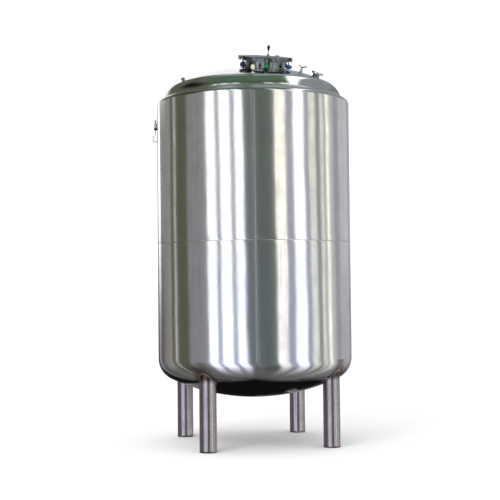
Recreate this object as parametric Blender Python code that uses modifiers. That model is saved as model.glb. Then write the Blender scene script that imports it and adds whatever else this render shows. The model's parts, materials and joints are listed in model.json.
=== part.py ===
"""Insulated stainless steel storage tank on four pipe legs.

Metres, +Z up. The floor is z = 0, the tank's own axis is the Z axis and the front is -Y.
The jacket stands 75 mm outside the vessel; only the vessel's top head shows above it.
"""
import math

import bmesh
import bpy
from mathutils import Matrix, Vector

GAP = 0.0003
ROUND = 64
MEDIUM = 32
SMALL = 16

# Jacket (the outer cladding), rolled in two plates a course
JACKET_R = 1.000
JACKET_T = 0.003
JACKET_BOTTOM = 0.871
GIRTH_SEAM = 2.046
JACKET_TOP = 3.485
BOTTOM_CROWN_R = 2.030
BOTTOM_KNUCKLE_R = 0.2295
SEAM_TURN = math.radians(-89.0)
SHOULDER_BEND = 0.035
SHOULDER_SLOPE = 55.0
SHOULDER_TOP = (0.9224, 3.5575)

# Vessel inside the jacket
VESSEL_R = 0.925
VESSEL_T = 0.004
HEAD_CROWN_R = 1.850
HEAD_KNUCKLE_R = 0.185
TOP_TANGENT = 3.520
LOW_TANGENT = 0.902
STRAIGHT_FLANGE = 0.040

# Legs
LEG_R = 0.08415
LEG_WALL = 0.005
LEG_CIRCLE = 0.887
LEG_TURN = math.radians(31.36)
LEG_TOP = 0.860
LEG_SOLE = 0.012

# Manway, in a frame that stands on the dome with Z along the neck
MANWAY_XY = (0.126, -0.460)
NECK_R = 0.2032
NECK_T = 0.004
NECK_BOTTOM = -0.035
NECK_TOP = 0.0887
RING_R = 0.232
RING_BOTTOM = 0.0765
GASKET_OUTER = 0.229
GASKET_INNER = 0.207
LID_R = 0.275
LID_T = 0.004
LID_LAND = 0.096
SKIRT_BOTTOM = 0.060
SKIRT_T = 0.0035
RIM_BEND = 0.008
CROWN_R = 0.216
CROWN_RISE = 0.006
HANDLE_X = 0.027
SLOT_START = 0.245
SLOT_WIDTH = 0.040

# Swing bolts round the manway, counted from the front towards +X
BOLT_COUNT = 6
BOLT_FIRST = math.radians(4.0)
PIVOT_R = 0.258
PIVOT_Z = 0.072
SHAFT_R = 0.006
SHAFT_LENGTH = 0.036
EYE_R = 0.010
EYE_HALF = 0.006
PIN_R = 0.004
KNOB_R = 0.031
FORK_PLAY = 0.001
FORK_EAR = 0.005
FORK_REACH = 0.268

# Lid hinge, behind the lid
HINGE_TURN = math.radians(154.0)
HINGE_R = 0.310
HINGE_Z = 0.086
HINGE_PIN_R = 0.005
ARM_HALF = 0.006
HINGE_EAR = 0.006
BRACKET_LOW = 0.028
BRACKET_HIGH = 0.052

# Fittings on the dome, each at its own x and y
GAUGE_XY = (0.009, -0.750)
GAUGE_R = 0.0310
GAUGE_BACK = -0.020
GAUGE_CENTRE = 0.037
GAUGE_TURN = math.radians(-38.0)
VENT_XY = (0.486, -0.500)
VENT_R = 0.0170
WING_Z = 0.046
WING_TURN = math.radians(12.0)
PORT_XY = (0.640, -0.390)
PORT_R = 0.0350
PORT_TOP = 0.037
PLUG_XY = (-0.700, -0.360)
PLUG_R = 0.0170
STEM_R = 0.0085

# Fittings on the jacket's left side, seated on the middle of one flat of its plate
SIDE_TURN = SEAM_TURN + math.pi + 16.5 * 2.0 * math.pi / ROUND
WALL_FLAT = JACKET_R * math.cos(math.pi / ROUND)
SIDE_R = WALL_FLAT + 0.0175
SIDE_STUB_Z = 3.292
SIDE_ROD_R = 0.0045
HOOK_Z = 3.117
HOOK_REACH = 0.0425
HOOK_BEND = 0.018
HOOK_RISE = 0.065
HOOK_ROD_R = 0.0045

STEEL = ((0.62, 0.63, 0.64), 1.0, 0.30)
POLISHED = ((0.66, 0.67, 0.68), 1.0, 0.18)
DULL_STEEL = ((0.45, 0.45, 0.46), 1.0, 0.45)
BLACK_PLASTIC = ((0.02, 0.02, 0.02), 0.0, 0.40)
BLUE_PLASTIC = ((0.02, 0.07, 0.35), 0.0, 0.40)
NAVY_PLASTIC = ((0.02, 0.02, 0.12), 0.0, 0.40)
GREEN_PLASTIC = ((0.02, 0.22, 0.10), 0.0, 0.40)
RUBBER = ((0.03, 0.03, 0.03), 0.0, 0.80)
DIAL_CREAM = ((0.80, 0.78, 0.66), 0.0, 0.35)

UPRIGHT = Matrix()
ALONG_X = Matrix.Rotation(math.pi / 2.0, 4, "Y")
ALONG_Y = Matrix.Rotation(math.pi / 2.0, 4, "X")
COLLECTIONS = {}


def start_scene():
    """Empty the scene and make one collection for the tank and one for its cutters."""
    for obj in list(bpy.data.objects):
        bpy.data.objects.remove(obj, do_unlink=True)
    for name in ("stainless_steel_tank", "cutters"):
        collection = bpy.data.collections.new(name)
        bpy.context.scene.collection.children.link(collection)
        COLLECTIONS[name] = collection


def material(name, look):
    """Make a Principled material from a colour, a metallic and a roughness value."""
    colour, metallic, roughness = look
    mat = bpy.data.materials.new(name)
    mat.use_nodes = True
    shader = mat.node_tree.nodes["Principled BSDF"]
    shader.inputs["Base Color"].default_value = (*colour, 1.0)
    shader.inputs["Metallic"].default_value = metallic
    shader.inputs["Roughness"].default_value = roughness
    return mat


def add_object(name, data, place, look):
    """Put an object in the scene: a node if it has a look, and a hidden cutter if not."""
    obj = bpy.data.objects.new(name, data)
    obj.matrix_basis = place
    if look is None:
        COLLECTIONS["cutters"].objects.link(obj)
        obj.hide_render = True
        obj.display_type = "WIRE"
        return obj
    data.materials.append(material(name, look))
    COLLECTIONS["stainless_steel_tank"].objects.link(obj)
    return obj


def turned(name, profile, place, steps, look=None, closed=False, sweep=2.0 * math.pi):
    """Turn (radius, height) points round Z. They run down the outer side, top to bottom."""
    count = len(profile)
    edges = [(i, i + 1) for i in range(count - 1)]
    if closed:
        edges.append((count - 1, 0))
    mesh = bpy.data.meshes.new(name)
    mesh.from_pydata([(r, 0.0, z) for r, z in profile], edges, [])
    obj = add_object(name, mesh, place, look)
    screw = obj.modifiers.new("turn", "SCREW")
    screw.axis = "Z"
    screw.angle = sweep
    screw.steps = steps
    screw.render_steps = steps
    screw.use_merge_vertices = True
    screw.merge_threshold = 0.0001
    screw.use_smooth_shade = False
    return obj


def tube(name, outer, inner, bottom, top, place, steps, look=None):
    """Make a ring or pipe with a bore right through it."""
    profile = [(outer, top), (outer, bottom), (inner, bottom), (inner, top)]
    return turned(name, profile, place, steps, look, closed=True)


def thicken(obj, thickness):
    """Give an open outer surface its wall, inwards."""
    wall = obj.modifiers.new("wall", "SOLIDIFY")
    wall.thickness = thickness
    wall.offset = -1.0
    wall.use_even_offset = True


def cylinder(name, radius, bottom, top, place, steps, look=None):
    """Make a solid cylinder that stands along the frame's Z."""
    bm = bmesh.new()
    bmesh.ops.create_cone(bm, cap_ends=True, segments=steps, radius1=radius, radius2=radius,
                          depth=top - bottom)
    bmesh.ops.translate(bm, verts=bm.verts, vec=(0.0, 0.0, (bottom + top) / 2.0))
    mesh = bpy.data.meshes.new(name)
    bm.to_mesh(mesh)
    bm.free()
    return add_object(name, mesh, place, look)


def box(name, low, high, place, look=None):
    """Make a box between two corners."""
    low = Vector(low)
    high = Vector(high)
    bm = bmesh.new()
    bmesh.ops.create_cube(bm, size=1.0)
    bmesh.ops.scale(bm, verts=bm.verts, vec=high - low)
    bmesh.ops.translate(bm, verts=bm.verts, vec=(high + low) / 2.0)
    mesh = bpy.data.meshes.new(name)
    bm.to_mesh(mesh)
    bm.free()
    return add_object(name, mesh, place, look)


def as_mesh(obj, look):
    """Replace a curve by its closed mesh, so that it can be cut or joined."""
    place = obj.matrix_basis.copy()
    name = obj.name
    bpy.context.view_layer.update()
    graph = bpy.context.evaluated_depsgraph_get()
    mesh = bpy.data.meshes.new_from_object(obj.evaluated_get(graph))
    bpy.data.objects.remove(obj, do_unlink=True)
    bm = bmesh.new()
    bm.from_mesh(mesh)
    bmesh.ops.remove_doubles(bm, verts=bm.verts, dist=0.00001)
    bmesh.ops.recalc_face_normals(bm, faces=bm.faces)
    bm.to_mesh(mesh)
    bm.free()
    mesh.materials.clear()
    return add_object(name, mesh, place, look)


def poly_curve(name, points, cyclic, dimensions):
    """Make a curve object with straight spans between its points."""
    curve = bpy.data.curves.new(name, "CURVE")
    curve.dimensions = dimensions
    spline = curve.splines.new("POLY")
    spline.points.add(len(points) - 1)
    for point, spot in zip(spline.points, points):
        point.co = (*spot, 1.0)
    spline.use_cyclic_u = cyclic
    return curve


def plate(name, outline, middle, half, place, look=None):
    """Cut a flat plate to an outline of (x, z) points and stand it across the frame's Y."""
    curve = poly_curve(name, [(x, z, 0.0) for x, z in outline], True, "2D")
    curve.fill_mode = "BOTH"
    curve.extrude = half
    stand = place @ Matrix.Translation((0.0, middle, 0.0)) @ ALONG_Y
    return as_mesh(add_object(name, curve, stand, None), look)


def bent_rod(name, path, radius, place, look=None):
    """Bend a round bar along a path of (x, z) points."""
    curve = poly_curve(name, [(x, 0.0, z) for x, z in path], False, "3D")
    curve.bevel_depth = radius
    curve.bevel_resolution = 2
    curve.use_fill_caps = True
    return as_mesh(add_object(name, curve, place, None), look)


def combine(obj, other, operation):
    """Cut one object by another, or fuse the two."""
    mod = obj.modifiers.new(operation.lower(), "BOOLEAN")
    mod.operation = operation
    mod.solver = "EXACT"
    mod.object = other


def carry(empty_name, point, riders):
    """Hang pieces that move together on an empty at their joint."""
    empty = bpy.data.objects.new(empty_name, None)
    empty.location = point
    empty.empty_display_size = 0.05
    COLLECTIONS["stainless_steel_tank"].objects.link(empty)
    for rider in riders:
        rider.parent = empty
        rider.matrix_parent_inverse = Matrix.Translation(-point)


def arc(centre, radius, start, end, count):
    """List points on a circle between two angles in degrees, both ends included."""
    points = []
    for i in range(count + 1):
        angle = math.radians(start + (end - start) * i / count)
        points.append((centre[0] + radius * math.cos(angle),
                       centre[1] + radius * math.sin(angle)))
    return points


def crown_centre(outer_r, crown_r, knuckle_r):
    """Depth of a dished head's crown centre below its tangent line, and where the crown ends."""
    split = math.asin((outer_r - knuckle_r) / (crown_r - knuckle_r))
    return (crown_r - knuckle_r) * math.cos(split), split


def head_side(outer_r, crown_r, knuckle_r, crown_count, knuckle_count):
    """List (radius, rise) points of a dished head, from its apex out to its tangent line."""
    drop, split = crown_centre(outer_r, crown_r, knuckle_r)
    centre_r = outer_r - knuckle_r
    points = []
    for i in range(crown_count + 1):
        angle = split * i / crown_count
        points.append((crown_r * math.sin(angle), crown_r * math.cos(angle) - drop))
    for i in range(1, knuckle_count + 1):
        angle = split + (math.pi / 2.0 - split) * i / knuckle_count
        points.append((centre_r + knuckle_r * math.sin(angle), knuckle_r * math.cos(angle)))
    return points


def standing(profile, tangent):
    """Place a head outline with its apex up."""
    return [(r, tangent + z) for r, z in profile]


def hanging(profile, tangent):
    """Place a head outline with its apex down."""
    return [(r, tangent - z) for r, z in reversed(profile)]


def dome_frame(xy):
    """Frame on the dome's crown: Z is the surface normal and X stays in the XZ plane."""
    x, y = xy
    drop, split = crown_centre(VESSEL_R, HEAD_CROWN_R, HEAD_KNUCKLE_R)
    rise = math.sqrt(HEAD_CROWN_R ** 2 - x ** 2 - y ** 2)
    up = Vector((x, y, rise)).normalized()
    across = Vector((up.z, 0.0, -up.x)).normalized()
    frame = Matrix((across, up.cross(across), up)).transposed().to_4x4()
    frame.translation = Vector((x, y, TOP_TANGENT - drop + rise))
    return frame


def wall_frame(radius, height):
    """Frame beside the jacket's left side: X points outwards and Z up."""
    frame = Matrix.Rotation(SIDE_TURN, 4, "Z")
    frame.translation = Vector((radius * math.cos(SIDE_TURN), radius * math.sin(SIDE_TURN),
                                height))
    return frame


def round_manway(turn):
    """Frame of the manway turned so that X points to an angle counted from the front."""
    return dome_frame(MANWAY_XY) @ Matrix.Rotation(turn - math.pi / 2.0, 4, "Z")


def hinge_frame():
    """Frame on the lid's hinge pin, with the pin along Z."""
    return round_manway(HINGE_TURN) @ Matrix.Translation((HINGE_R, 0.0, HINGE_Z)) @ ALONG_Y


def bolt_turns():
    """List the angles of the swing bolts round the neck."""
    return [BOLT_FIRST + 2.0 * math.pi * i / BOLT_COUNT for i in range(BOLT_COUNT)]


def fork_frame(turn):
    """Frame on a swing bolt's pin, square to the neck."""
    return round_manway(turn) @ Matrix.Translation((PIVOT_R, 0.0, PIVOT_Z))


def bolt_frame(turn):
    """Frame on a swing bolt's pin, turned about the pin so that -Z hangs plumb."""
    frame = fork_frame(turn)
    down = frame.to_3x3().transposed() @ Vector((0.0, 0.0, -1.0))
    return frame @ Matrix.Rotation(math.atan2(-down.x, -down.z), 4, "Y")


def leg_spots():
    """Name and frame of each leg, starting at the front left."""
    names = ("leg_front_left", "leg_front_right", "leg_back_right", "leg_back_left")
    spots = []
    for i, name in enumerate(names):
        angle = -math.pi / 2.0 - LEG_TURN + i * math.pi / 2.0
        spot = (LEG_CIRCLE * math.cos(angle), LEG_CIRCLE * math.sin(angle), 0.0)
        spots.append((name, Matrix.Translation(spot)))
    return spots


def build_jacket():
    """Cladding plates, and the sloped ring that closes them against the dome."""
    courses = (("lower", JACKET_BOTTOM + GAP, GIRTH_SEAM - GAP / 2.0),
               ("upper", GIRTH_SEAM + GAP / 2.0, JACKET_TOP - GAP))
    for course, bottom, top in courses:
        for i, side in enumerate(("right", "left")):
            start = Matrix.Rotation(SEAM_TURN + i * math.pi, 4, "Z")
            shell = turned(f"jacket_{course}_{side}", [(JACKET_R, top), (JACKET_R, bottom)], start,
                           ROUND // 2, STEEL, sweep=math.pi - GAP / JACKET_R)
            thicken(shell, JACKET_T)
    centre = (JACKET_R - SHOULDER_BEND, JACKET_TOP)
    outer = arc(centre, SHOULDER_BEND, SHOULDER_SLOPE, 0.0, 4)
    inner = arc(centre, SHOULDER_BEND - JACKET_T, 0.0, SHOULDER_SLOPE, 4)
    step = JACKET_T / math.sin(math.radians(SHOULDER_SLOPE))
    low_edge = (SHOULDER_TOP[0], SHOULDER_TOP[1] - step)
    turned("shoulder_ring", [SHOULDER_TOP] + outer + inner + [low_edge], UPRIGHT, ROUND, STEEL,
           closed=True)


def build_bottom():
    """Dished underside of the jacket, with a hole for each leg."""
    side = head_side(JACKET_R, BOTTOM_CROWN_R, BOTTOM_KNUCKLE_R, 7, 6)
    underside = turned("jacket_bottom", hanging(side, JACKET_BOTTOM), UPRIGHT, ROUND, STEEL)
    thicken(underside, JACKET_T)
    for name, place in leg_spots():
        hole = cylinder(name + "_hole", LEG_R + GAP, 0.4, JACKET_BOTTOM - 0.02, place, MEDIUM)
        combine(underside, hole, "DIFFERENCE")


def build_vessel():
    """The vessel itself: wall, bottom head and the top head that shows."""
    low = LOW_TANGENT + STRAIGHT_FLANGE
    high = TOP_TANGENT - STRAIGHT_FLANGE
    tube("vessel_wall", VESSEL_R, VESSEL_R - VESSEL_T, low + GAP, high - GAP, UPRIGHT, ROUND,
         STEEL)
    side = head_side(VESSEL_R, HEAD_CROWN_R, HEAD_KNUCKLE_R, 5, 4)
    bottom = turned("vessel_bottom", [(VESSEL_R, low)] + hanging(side, LOW_TANGENT), UPRIGHT,
                    ROUND, STEEL)
    thicken(bottom, VESSEL_T)
    side = head_side(VESSEL_R, HEAD_CROWN_R, HEAD_KNUCKLE_R, 7, 5)
    dome = turned("top_head", standing(side, TOP_TANGENT) + [(VESSEL_R, high)], UPRIGHT, ROUND,
                  POLISHED)
    thicken(dome, VESSEL_T)
    bores = (("manway_hole", MANWAY_XY, NECK_R, MEDIUM), ("gauge_hole", GAUGE_XY, STEM_R, SMALL),
             ("vent_hole", VENT_XY, VENT_R, SMALL), ("port_hole", PORT_XY, PORT_R, SMALL),
             ("plug_hole", PLUG_XY, PLUG_R, SMALL))
    for name, spot, radius, steps in bores:
        hole = cylinder(name, radius + GAP, -0.06, 0.05, dome_frame(spot), steps)
        combine(dome, hole, "DIFFERENCE")


def build_legs():
    """Four plain pipes with a closed foot, run through the jacket and coped to the vessel."""
    side = head_side(VESSEL_R + GAP, HEAD_CROWN_R + GAP, HEAD_KNUCKLE_R + GAP, 5, 4)
    clear = LEG_TOP + 0.2
    outline = [(0.0, clear), (VESSEL_R + GAP, clear)] + hanging(side, LOW_TANGENT)
    cope = turned("leg_cope", outline, UPRIGHT, ROUND)
    bore = LEG_R - LEG_WALL
    pipe = [(LEG_R, LEG_TOP), (LEG_R, 0.0), (0.0, 0.0)]
    pipe = [(0.0, LEG_SOLE), (bore, LEG_SOLE), (bore, LEG_TOP)] + pipe
    for name, place in leg_spots():
        leg = turned(name, pipe, place, MEDIUM, DULL_STEEL)
        combine(leg, cope, "DIFFERENCE")


def build_manway():
    """Neck, gasket, and the ring with the forks that hold the swing bolts."""
    frame = dome_frame(MANWAY_XY)
    tube("manway_neck", NECK_R, NECK_R - NECK_T, NECK_BOTTOM, NECK_TOP, frame, MEDIUM, POLISHED)
    tube("manway_gasket", GASKET_OUTER, GASKET_INNER, NECK_TOP + GAP, LID_LAND - GAP, frame,
         MEDIUM, RUBBER)
    ring = tube("manway_ring", RING_R, NECK_R + 2.0 * GAP, RING_BOTTOM, NECK_TOP, frame, MEDIUM,
                STEEL)
    near = EYE_HALF + FORK_PLAY
    far = near + FORK_EAR
    back = RING_R - 0.004 - PIVOT_R
    web = RING_R + 0.004 - PIVOT_R
    tip = FORK_REACH - PIVOT_R
    outline = [(back, far), (back, -far), (tip, -far), (tip, -near), (web, -near), (web, near),
               (tip, near), (tip, far)]
    for i, turn in enumerate(bolt_turns()):
        place = fork_frame(turn)
        lying = place @ Matrix.Rotation(-math.pi / 2.0, 4, "X")
        combine(ring, plate(f"fork_{i + 1}", outline, 0.0, 0.010, lying), "UNION")
        pin = cylinder(f"fork_pin_{i + 1}", PIN_R, -far - 0.002, far + 0.002, place @ ALONG_Y,
                       SMALL)
        combine(ring, pin, "UNION")


def lid_profile():
    """Outline of the lid's section: crown, rim, skirt, land, and the crown's inside."""
    top = LID_LAND + LID_T
    radius = (CROWN_R ** 2 + CROWN_RISE ** 2) / (2.0 * CROWN_RISE)
    edge = 90.0 - math.degrees(math.asin(CROWN_R / radius))
    low = (0.0, top + CROWN_RISE - radius)
    outside = [(0.0, low[1] + radius)] + arc(low, radius, 90.0, edge, 5)[1:]
    inside = arc(low, radius - LID_T, edge, 90.0, 5)[:-1] + [(0.0, low[1] + radius - LID_T)]
    rim = arc((LID_R - RIM_BEND, top - RIM_BEND), RIM_BEND, 90.0, 0.0, 3)
    skirt_r = LID_R - SKIRT_T
    skirt = [(LID_R, SKIRT_BOTTOM), (skirt_r, SKIRT_BOTTOM), (skirt_r, LID_LAND)]
    return outside + rim + skirt + [(CROWN_R - 0.002, LID_LAND)] + inside[1:]


def build_lid():
    """Crowned lid with an open slot for each bolt, its hinge arm, and its handle."""
    frame = dome_frame(MANWAY_XY)
    lid = turned("manway_lid", lid_profile(), frame, ROUND, POLISHED)
    half = SLOT_WIDTH / 2.0
    for i, turn in enumerate(bolt_turns()):
        slot = box(f"slot_{i + 1}", (SLOT_START, -half, SKIRT_BOTTOM - 0.01),
                   (LID_R + 0.02, half, LID_LAND + 0.02), round_manway(turn))
        combine(lid, slot, "DIFFERENCE")
    base = LID_LAND + LID_T + CROWN_RISE + GAP
    tip = base + 0.052
    grip = frame @ Matrix.Translation((HANDLE_X, 0.0, 0.0))
    stem = [(0.0, tip), (0.006, tip), (0.006, base + 0.032), (0.020, base + 0.004),
            (0.020, base), (0.0, base)]
    handle = turned("lid_handle", stem, grip, SMALL, STEEL)
    foot = tip + GAP
    drop = [(0.0, foot + 0.055), (0.008, foot + 0.0535), (0.014, foot + 0.047),
            (0.016, foot + 0.038), (0.0135, foot + 0.026), (0.0095, foot + 0.013),
            (0.008, foot), (0.0, foot)]
    knob = turned("lid_knob", drop, grip, SMALL, BLACK_PLASTIC)
    low = LID_LAND + LID_T + GAP
    high = low + 0.009
    start = CROWN_R + 0.008
    outline = [(start, low), (LID_R + 0.004, low), (HINGE_R - 0.012, HINGE_Z - 0.005),
               (HINGE_R - 0.007, HINGE_Z - 0.011), (HINGE_R + 0.007, HINGE_Z - 0.011),
               (HINGE_R + 0.012, HINGE_Z - 0.005), (HINGE_R + 0.012, HINGE_Z + 0.011),
               (HINGE_R - 0.003, high), (start, high)]
    arm = plate("hinge_arm", outline, 0.0, ARM_HALF, round_manway(HINGE_TURN), STEEL)
    bore = cylinder("hinge_arm_bore", HINGE_PIN_R + GAP, -0.02, 0.02, hinge_frame(), SMALL)
    combine(arm, bore, "DIFFERENCE")
    carry("lid_joint", hinge_frame().translation, (lid, handle, knob, arm))


def build_bracket():
    """Two ears joined by a pad on the neck, with the pin that the lid turns on."""
    place = round_manway(HINGE_TURN)
    start = NECK_R + 0.0012
    near = ARM_HALF + FORK_PLAY
    far = near + HINGE_EAR
    outline = [(start, BRACKET_LOW), (start, BRACKET_HIGH), (HINGE_R - 0.019, BRACKET_HIGH),
               (HINGE_R - 0.013, HINGE_Z + 0.003), (HINGE_R - 0.007, HINGE_Z + 0.011),
               (HINGE_R + 0.007, HINGE_Z + 0.011), (HINGE_R + 0.013, HINGE_Z + 0.003),
               (HINGE_R + 0.013, BRACKET_LOW + 0.016), (HINGE_R, BRACKET_LOW + 0.008)]
    middle = (near + far) / 2.0
    bracket = plate("hinge_bracket", outline, middle, HINGE_EAR / 2.0, place, STEEL)
    other = plate("hinge_ear", outline, -middle, HINGE_EAR / 2.0, place)
    combine(bracket, other, "UNION")
    pad = box("hinge_pad", (start, -far, BRACKET_LOW + 0.002),
              (start + 0.006, far, BRACKET_HIGH - 0.002), place)
    combine(bracket, pad, "UNION")
    pin = cylinder("hinge_pin", HINGE_PIN_R, -far - 0.004, far + 0.004, hinge_frame(), SMALL)
    combine(bracket, pin, "UNION")


def build_bolts():
    """Swing bolts, each an eye on a shaft with a plastic knob, hanging plumb."""
    looks = (GREEN_PLASTIC, BLUE_PLASTIC, BLUE_PLASTIC, GREEN_PLASTIC, NAVY_PLASTIC, NAVY_PLASTIC)
    top = -SHAFT_LENGTH - GAP
    profile = [(0.0, top), (0.011, top), (0.013, top - 0.006), (0.024, top - 0.010),
               (KNOB_R, top - 0.019), (KNOB_R, top - 0.028), (0.024, top - 0.038),
               (0.012, top - 0.0435), (0.0, top - 0.044)]
    for i, turn in enumerate(bolt_turns()):
        place = bolt_frame(turn)
        name = f"swing_bolt_{i + 1}"
        bolt = cylinder(name, SHAFT_R, -SHAFT_LENGTH, -0.006, place, SMALL, STEEL)
        across = place @ ALONG_Y
        combine(bolt, cylinder(name + "_eye", EYE_R, -EYE_HALF, EYE_HALF, across, SMALL), "UNION")
        bore = cylinder(name + "_bore", PIN_R + GAP, -0.02, 0.02, across, SMALL)
        combine(bolt, bore, "DIFFERENCE")
        turned(f"bolt_knob_{i + 1}", profile, place, SMALL, looks[i])


def build_port():
    """Capped port on the right: welded stub, blind cap and the clamp round their rims."""
    place = dome_frame(PORT_XY)
    rim = 0.0455
    top = PORT_TOP
    stub = [(rim, top), (rim, top - 0.003), (PORT_R, top - 0.008), (PORT_R, -0.012),
            (PORT_R - 0.002, -0.012), (PORT_R - 0.002, top)]
    turned("port_stub", stub, place, SMALL, POLISHED, closed=True)
    cap = [(0.0, top + 0.011), (0.038, top + 0.011), (rim, top + 0.006), (rim, top + GAP),
           (0.0, top + GAP)]
    turned("port_cap", cap, place, MEDIUM, POLISHED)
    band = [(0.0520, top + 0.013), (0.0535, top + 0.011), (0.0535, top - 0.006),
            (0.0520, top - 0.008), (rim + 0.0007, top - 0.008), (rim + 0.0007, top + 0.013)]
    clamp = turned("port_clamp", band, place, MEDIUM, STEEL, closed=True)
    lug = box("clamp_lug", (0.050, -0.012, top - 0.006), (0.070, 0.012, top + 0.011), place)
    combine(clamp, lug, "UNION")
    plug = [(0.0, 0.030), (0.012, 0.030), (0.0205, 0.026), (0.0205, 0.012), (PLUG_R, 0.010),
            (PLUG_R, -0.012), (0.0, -0.012)]
    turned("small_plug", plug, dome_frame(PLUG_XY), SMALL, POLISHED)


def build_gauge():
    """Round dial gauge on a stem, turned away to the left."""
    place = dome_frame(GAUGE_XY)
    cylinder("gauge_stem", STEM_R, -0.012, GAUGE_CENTRE - GAUGE_R - GAP, place, SMALL, STEEL)
    centre = place @ Matrix.Translation((0.0, 0.0, GAUGE_CENTRE))
    face = centre @ Matrix.Rotation(GAUGE_TURN, 4, "Z") @ ALONG_Y
    dial_r = GAUGE_R - 0.0045
    case = [(0.0, 0.004), (dial_r, 0.004), (dial_r, 0.010), (GAUGE_R - 0.001, 0.010),
            (GAUGE_R, 0.008), (GAUGE_R, GAUGE_BACK + 0.004), (GAUGE_R - 0.004, GAUGE_BACK),
            (0.0, GAUGE_BACK)]
    turned("gauge_case", case, face, MEDIUM, DULL_STEEL)
    cylinder("gauge_dial", dial_r - GAP, 0.004 + GAP, 0.0075, face, MEDIUM, DIAL_CREAM)


def build_vent():
    """Small valve with a winged handle on top."""
    place = dome_frame(VENT_XY)
    body = [(0.0, WING_Z), (0.0055, WING_Z), (0.0055, 0.038), (0.010, 0.037), (0.012, 0.033),
            (0.012, 0.022), (0.020, 0.018), (0.020, 0.010), (VENT_R, 0.008), (VENT_R, -0.012),
            (0.0, -0.012)]
    turned("vent_valve", body, place, SMALL, STEEL)
    low = WING_Z + GAP
    outline = [(-0.009, low), (0.009, low), (0.013, low + 0.008), (0.043, low + 0.020),
               (0.045, low + 0.026), (0.040, low + 0.029), (0.010, low + 0.017),
               (0.0, low + 0.014), (-0.010, low + 0.017), (-0.040, low + 0.029),
               (-0.045, low + 0.026), (-0.043, low + 0.020), (-0.013, low + 0.008)]
    plate("wing_handle", outline, 0.0, 0.006, place @ Matrix.Rotation(WING_TURN, 4, "Z"),
          DULL_STEEL)


def build_side():
    """Small fitting on the jacket's left side, and the bent hook below it."""
    place = wall_frame(SIDE_R, SIDE_STUB_Z)
    neck = GAP - 0.028
    body = [(0.0, 0.052), (0.008, 0.050), (0.011, 0.044), (0.011, 0.036), (0.0075, 0.032),
            (0.0075, 0.024), (0.0135, 0.018), (0.0135, -0.016), (0.009, neck),
            (SIDE_ROD_R, neck), (SIDE_ROD_R, -0.110), (0.0, -0.110)]
    fitting = turned("side_fitting", body, place, SMALL, STEEL)
    stub = [(0.0, 0.014), (0.0085, 0.014), (0.0085, 0.004), (0.019, 0.003), (0.019, 0.0),
            (0.0, 0.0)]
    outwards = wall_frame(WALL_FLAT + GAP, SIDE_STUB_Z) @ ALONG_X
    combine(fitting, turned("side_stub", stub, outwards, SMALL), "UNION")
    knob = [(0.012, -0.028), (0.0165, -0.033), (0.0165, -0.048), (0.012, -0.054),
            (SIDE_ROD_R + GAP, -0.054), (SIDE_ROD_R + GAP, -0.028)]
    turned("side_knob", knob, place, SMALL, BLACK_PLASTIC, closed=True)
    bend = arc((HOOK_REACH - HOOK_BEND, HOOK_BEND), HOOK_BEND, -90.0, 0.0, 5)
    path = [(GAP, 0.0)] + bend + [(HOOK_REACH, HOOK_RISE)]
    bent_rod("side_hook", path, HOOK_ROD_R, wall_frame(WALL_FLAT, HOOK_Z), STEEL)


def main():
    start_scene()
    build_jacket()
    build_bottom()
    build_vessel()
    build_legs()
    build_manway()
    build_lid()
    build_bracket()
    build_bolts()
    build_port()
    build_gauge()
    build_vent()
    build_side()


main()
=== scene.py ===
# %% [markdown]
# # Dressing a stainless steel storage tank
#
# The tank is an insulated process vessel: a stainless vessel inside a polished jacket, on four
# pipe legs, with a hinged manway on its dome. The CAD model gives the sizes and the moving
# parts. This lesson builds what the eye sees: round shells without facets, weld beads, knobs,
# a dial, and mirror-like steel that folds a room into upright stripes.
#
# The frame is loaded first. Pieces could be placed by typed numbers, but most are placed from
# the frame's boxes and joints, so that a change in the CAD model carries through.

# %% Load the frame
import json
import math

import bpy
from mathutils import Matrix, Vector


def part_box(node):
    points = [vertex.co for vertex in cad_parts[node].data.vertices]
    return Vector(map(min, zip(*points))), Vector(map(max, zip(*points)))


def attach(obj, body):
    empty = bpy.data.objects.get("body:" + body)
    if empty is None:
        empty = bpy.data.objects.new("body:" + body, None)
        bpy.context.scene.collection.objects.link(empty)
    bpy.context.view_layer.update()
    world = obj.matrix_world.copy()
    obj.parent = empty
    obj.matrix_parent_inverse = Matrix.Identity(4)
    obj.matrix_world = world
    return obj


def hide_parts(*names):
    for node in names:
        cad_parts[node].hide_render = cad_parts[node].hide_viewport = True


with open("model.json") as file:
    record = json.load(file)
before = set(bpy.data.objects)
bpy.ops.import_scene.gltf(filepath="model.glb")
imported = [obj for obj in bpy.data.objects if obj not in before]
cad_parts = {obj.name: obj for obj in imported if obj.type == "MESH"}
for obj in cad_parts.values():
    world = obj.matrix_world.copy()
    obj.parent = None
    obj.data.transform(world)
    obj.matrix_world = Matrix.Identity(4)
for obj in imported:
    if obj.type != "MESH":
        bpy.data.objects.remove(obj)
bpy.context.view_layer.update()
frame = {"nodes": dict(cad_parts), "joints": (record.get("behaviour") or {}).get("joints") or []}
joints = {joint["name"]: joint for joint in frame["joints"]}

# %% [markdown]
# ## Driving sizes
#
# The dished ends have the usual shape for such vessels: a shallow crown of large radius that
# turns into the wall through a tight knuckle. Their section could be traced by eye. Here it is
# worked out from the two radii, because polished steel shows every uneven step.

# %% Sizes of the shells, in metres
SHELL_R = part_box("jacket_bottom")[1].x
SHELL_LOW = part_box("jacket_bottom")[1].z
SHELL_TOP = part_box("jacket_upper_left")[1].z
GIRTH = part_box("jacket_upper_left")[0].z
SHOULDER_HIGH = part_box("shoulder_ring")[1].z
VESSEL_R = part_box("top_head")[1].x
DOME_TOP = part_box("top_head")[1].z
SHEET, PLATE = 0.003, 0.004
ROUND_STEPS = 256
DOME_CROWN_R, DOME_KNUCKLE_R = 1.850, 0.185
UNDER_CROWN_R, UNDER_KNUCKLE_R = 2.030, 0.2295
SEAM_TURN = math.radians(-89.0)


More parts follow.
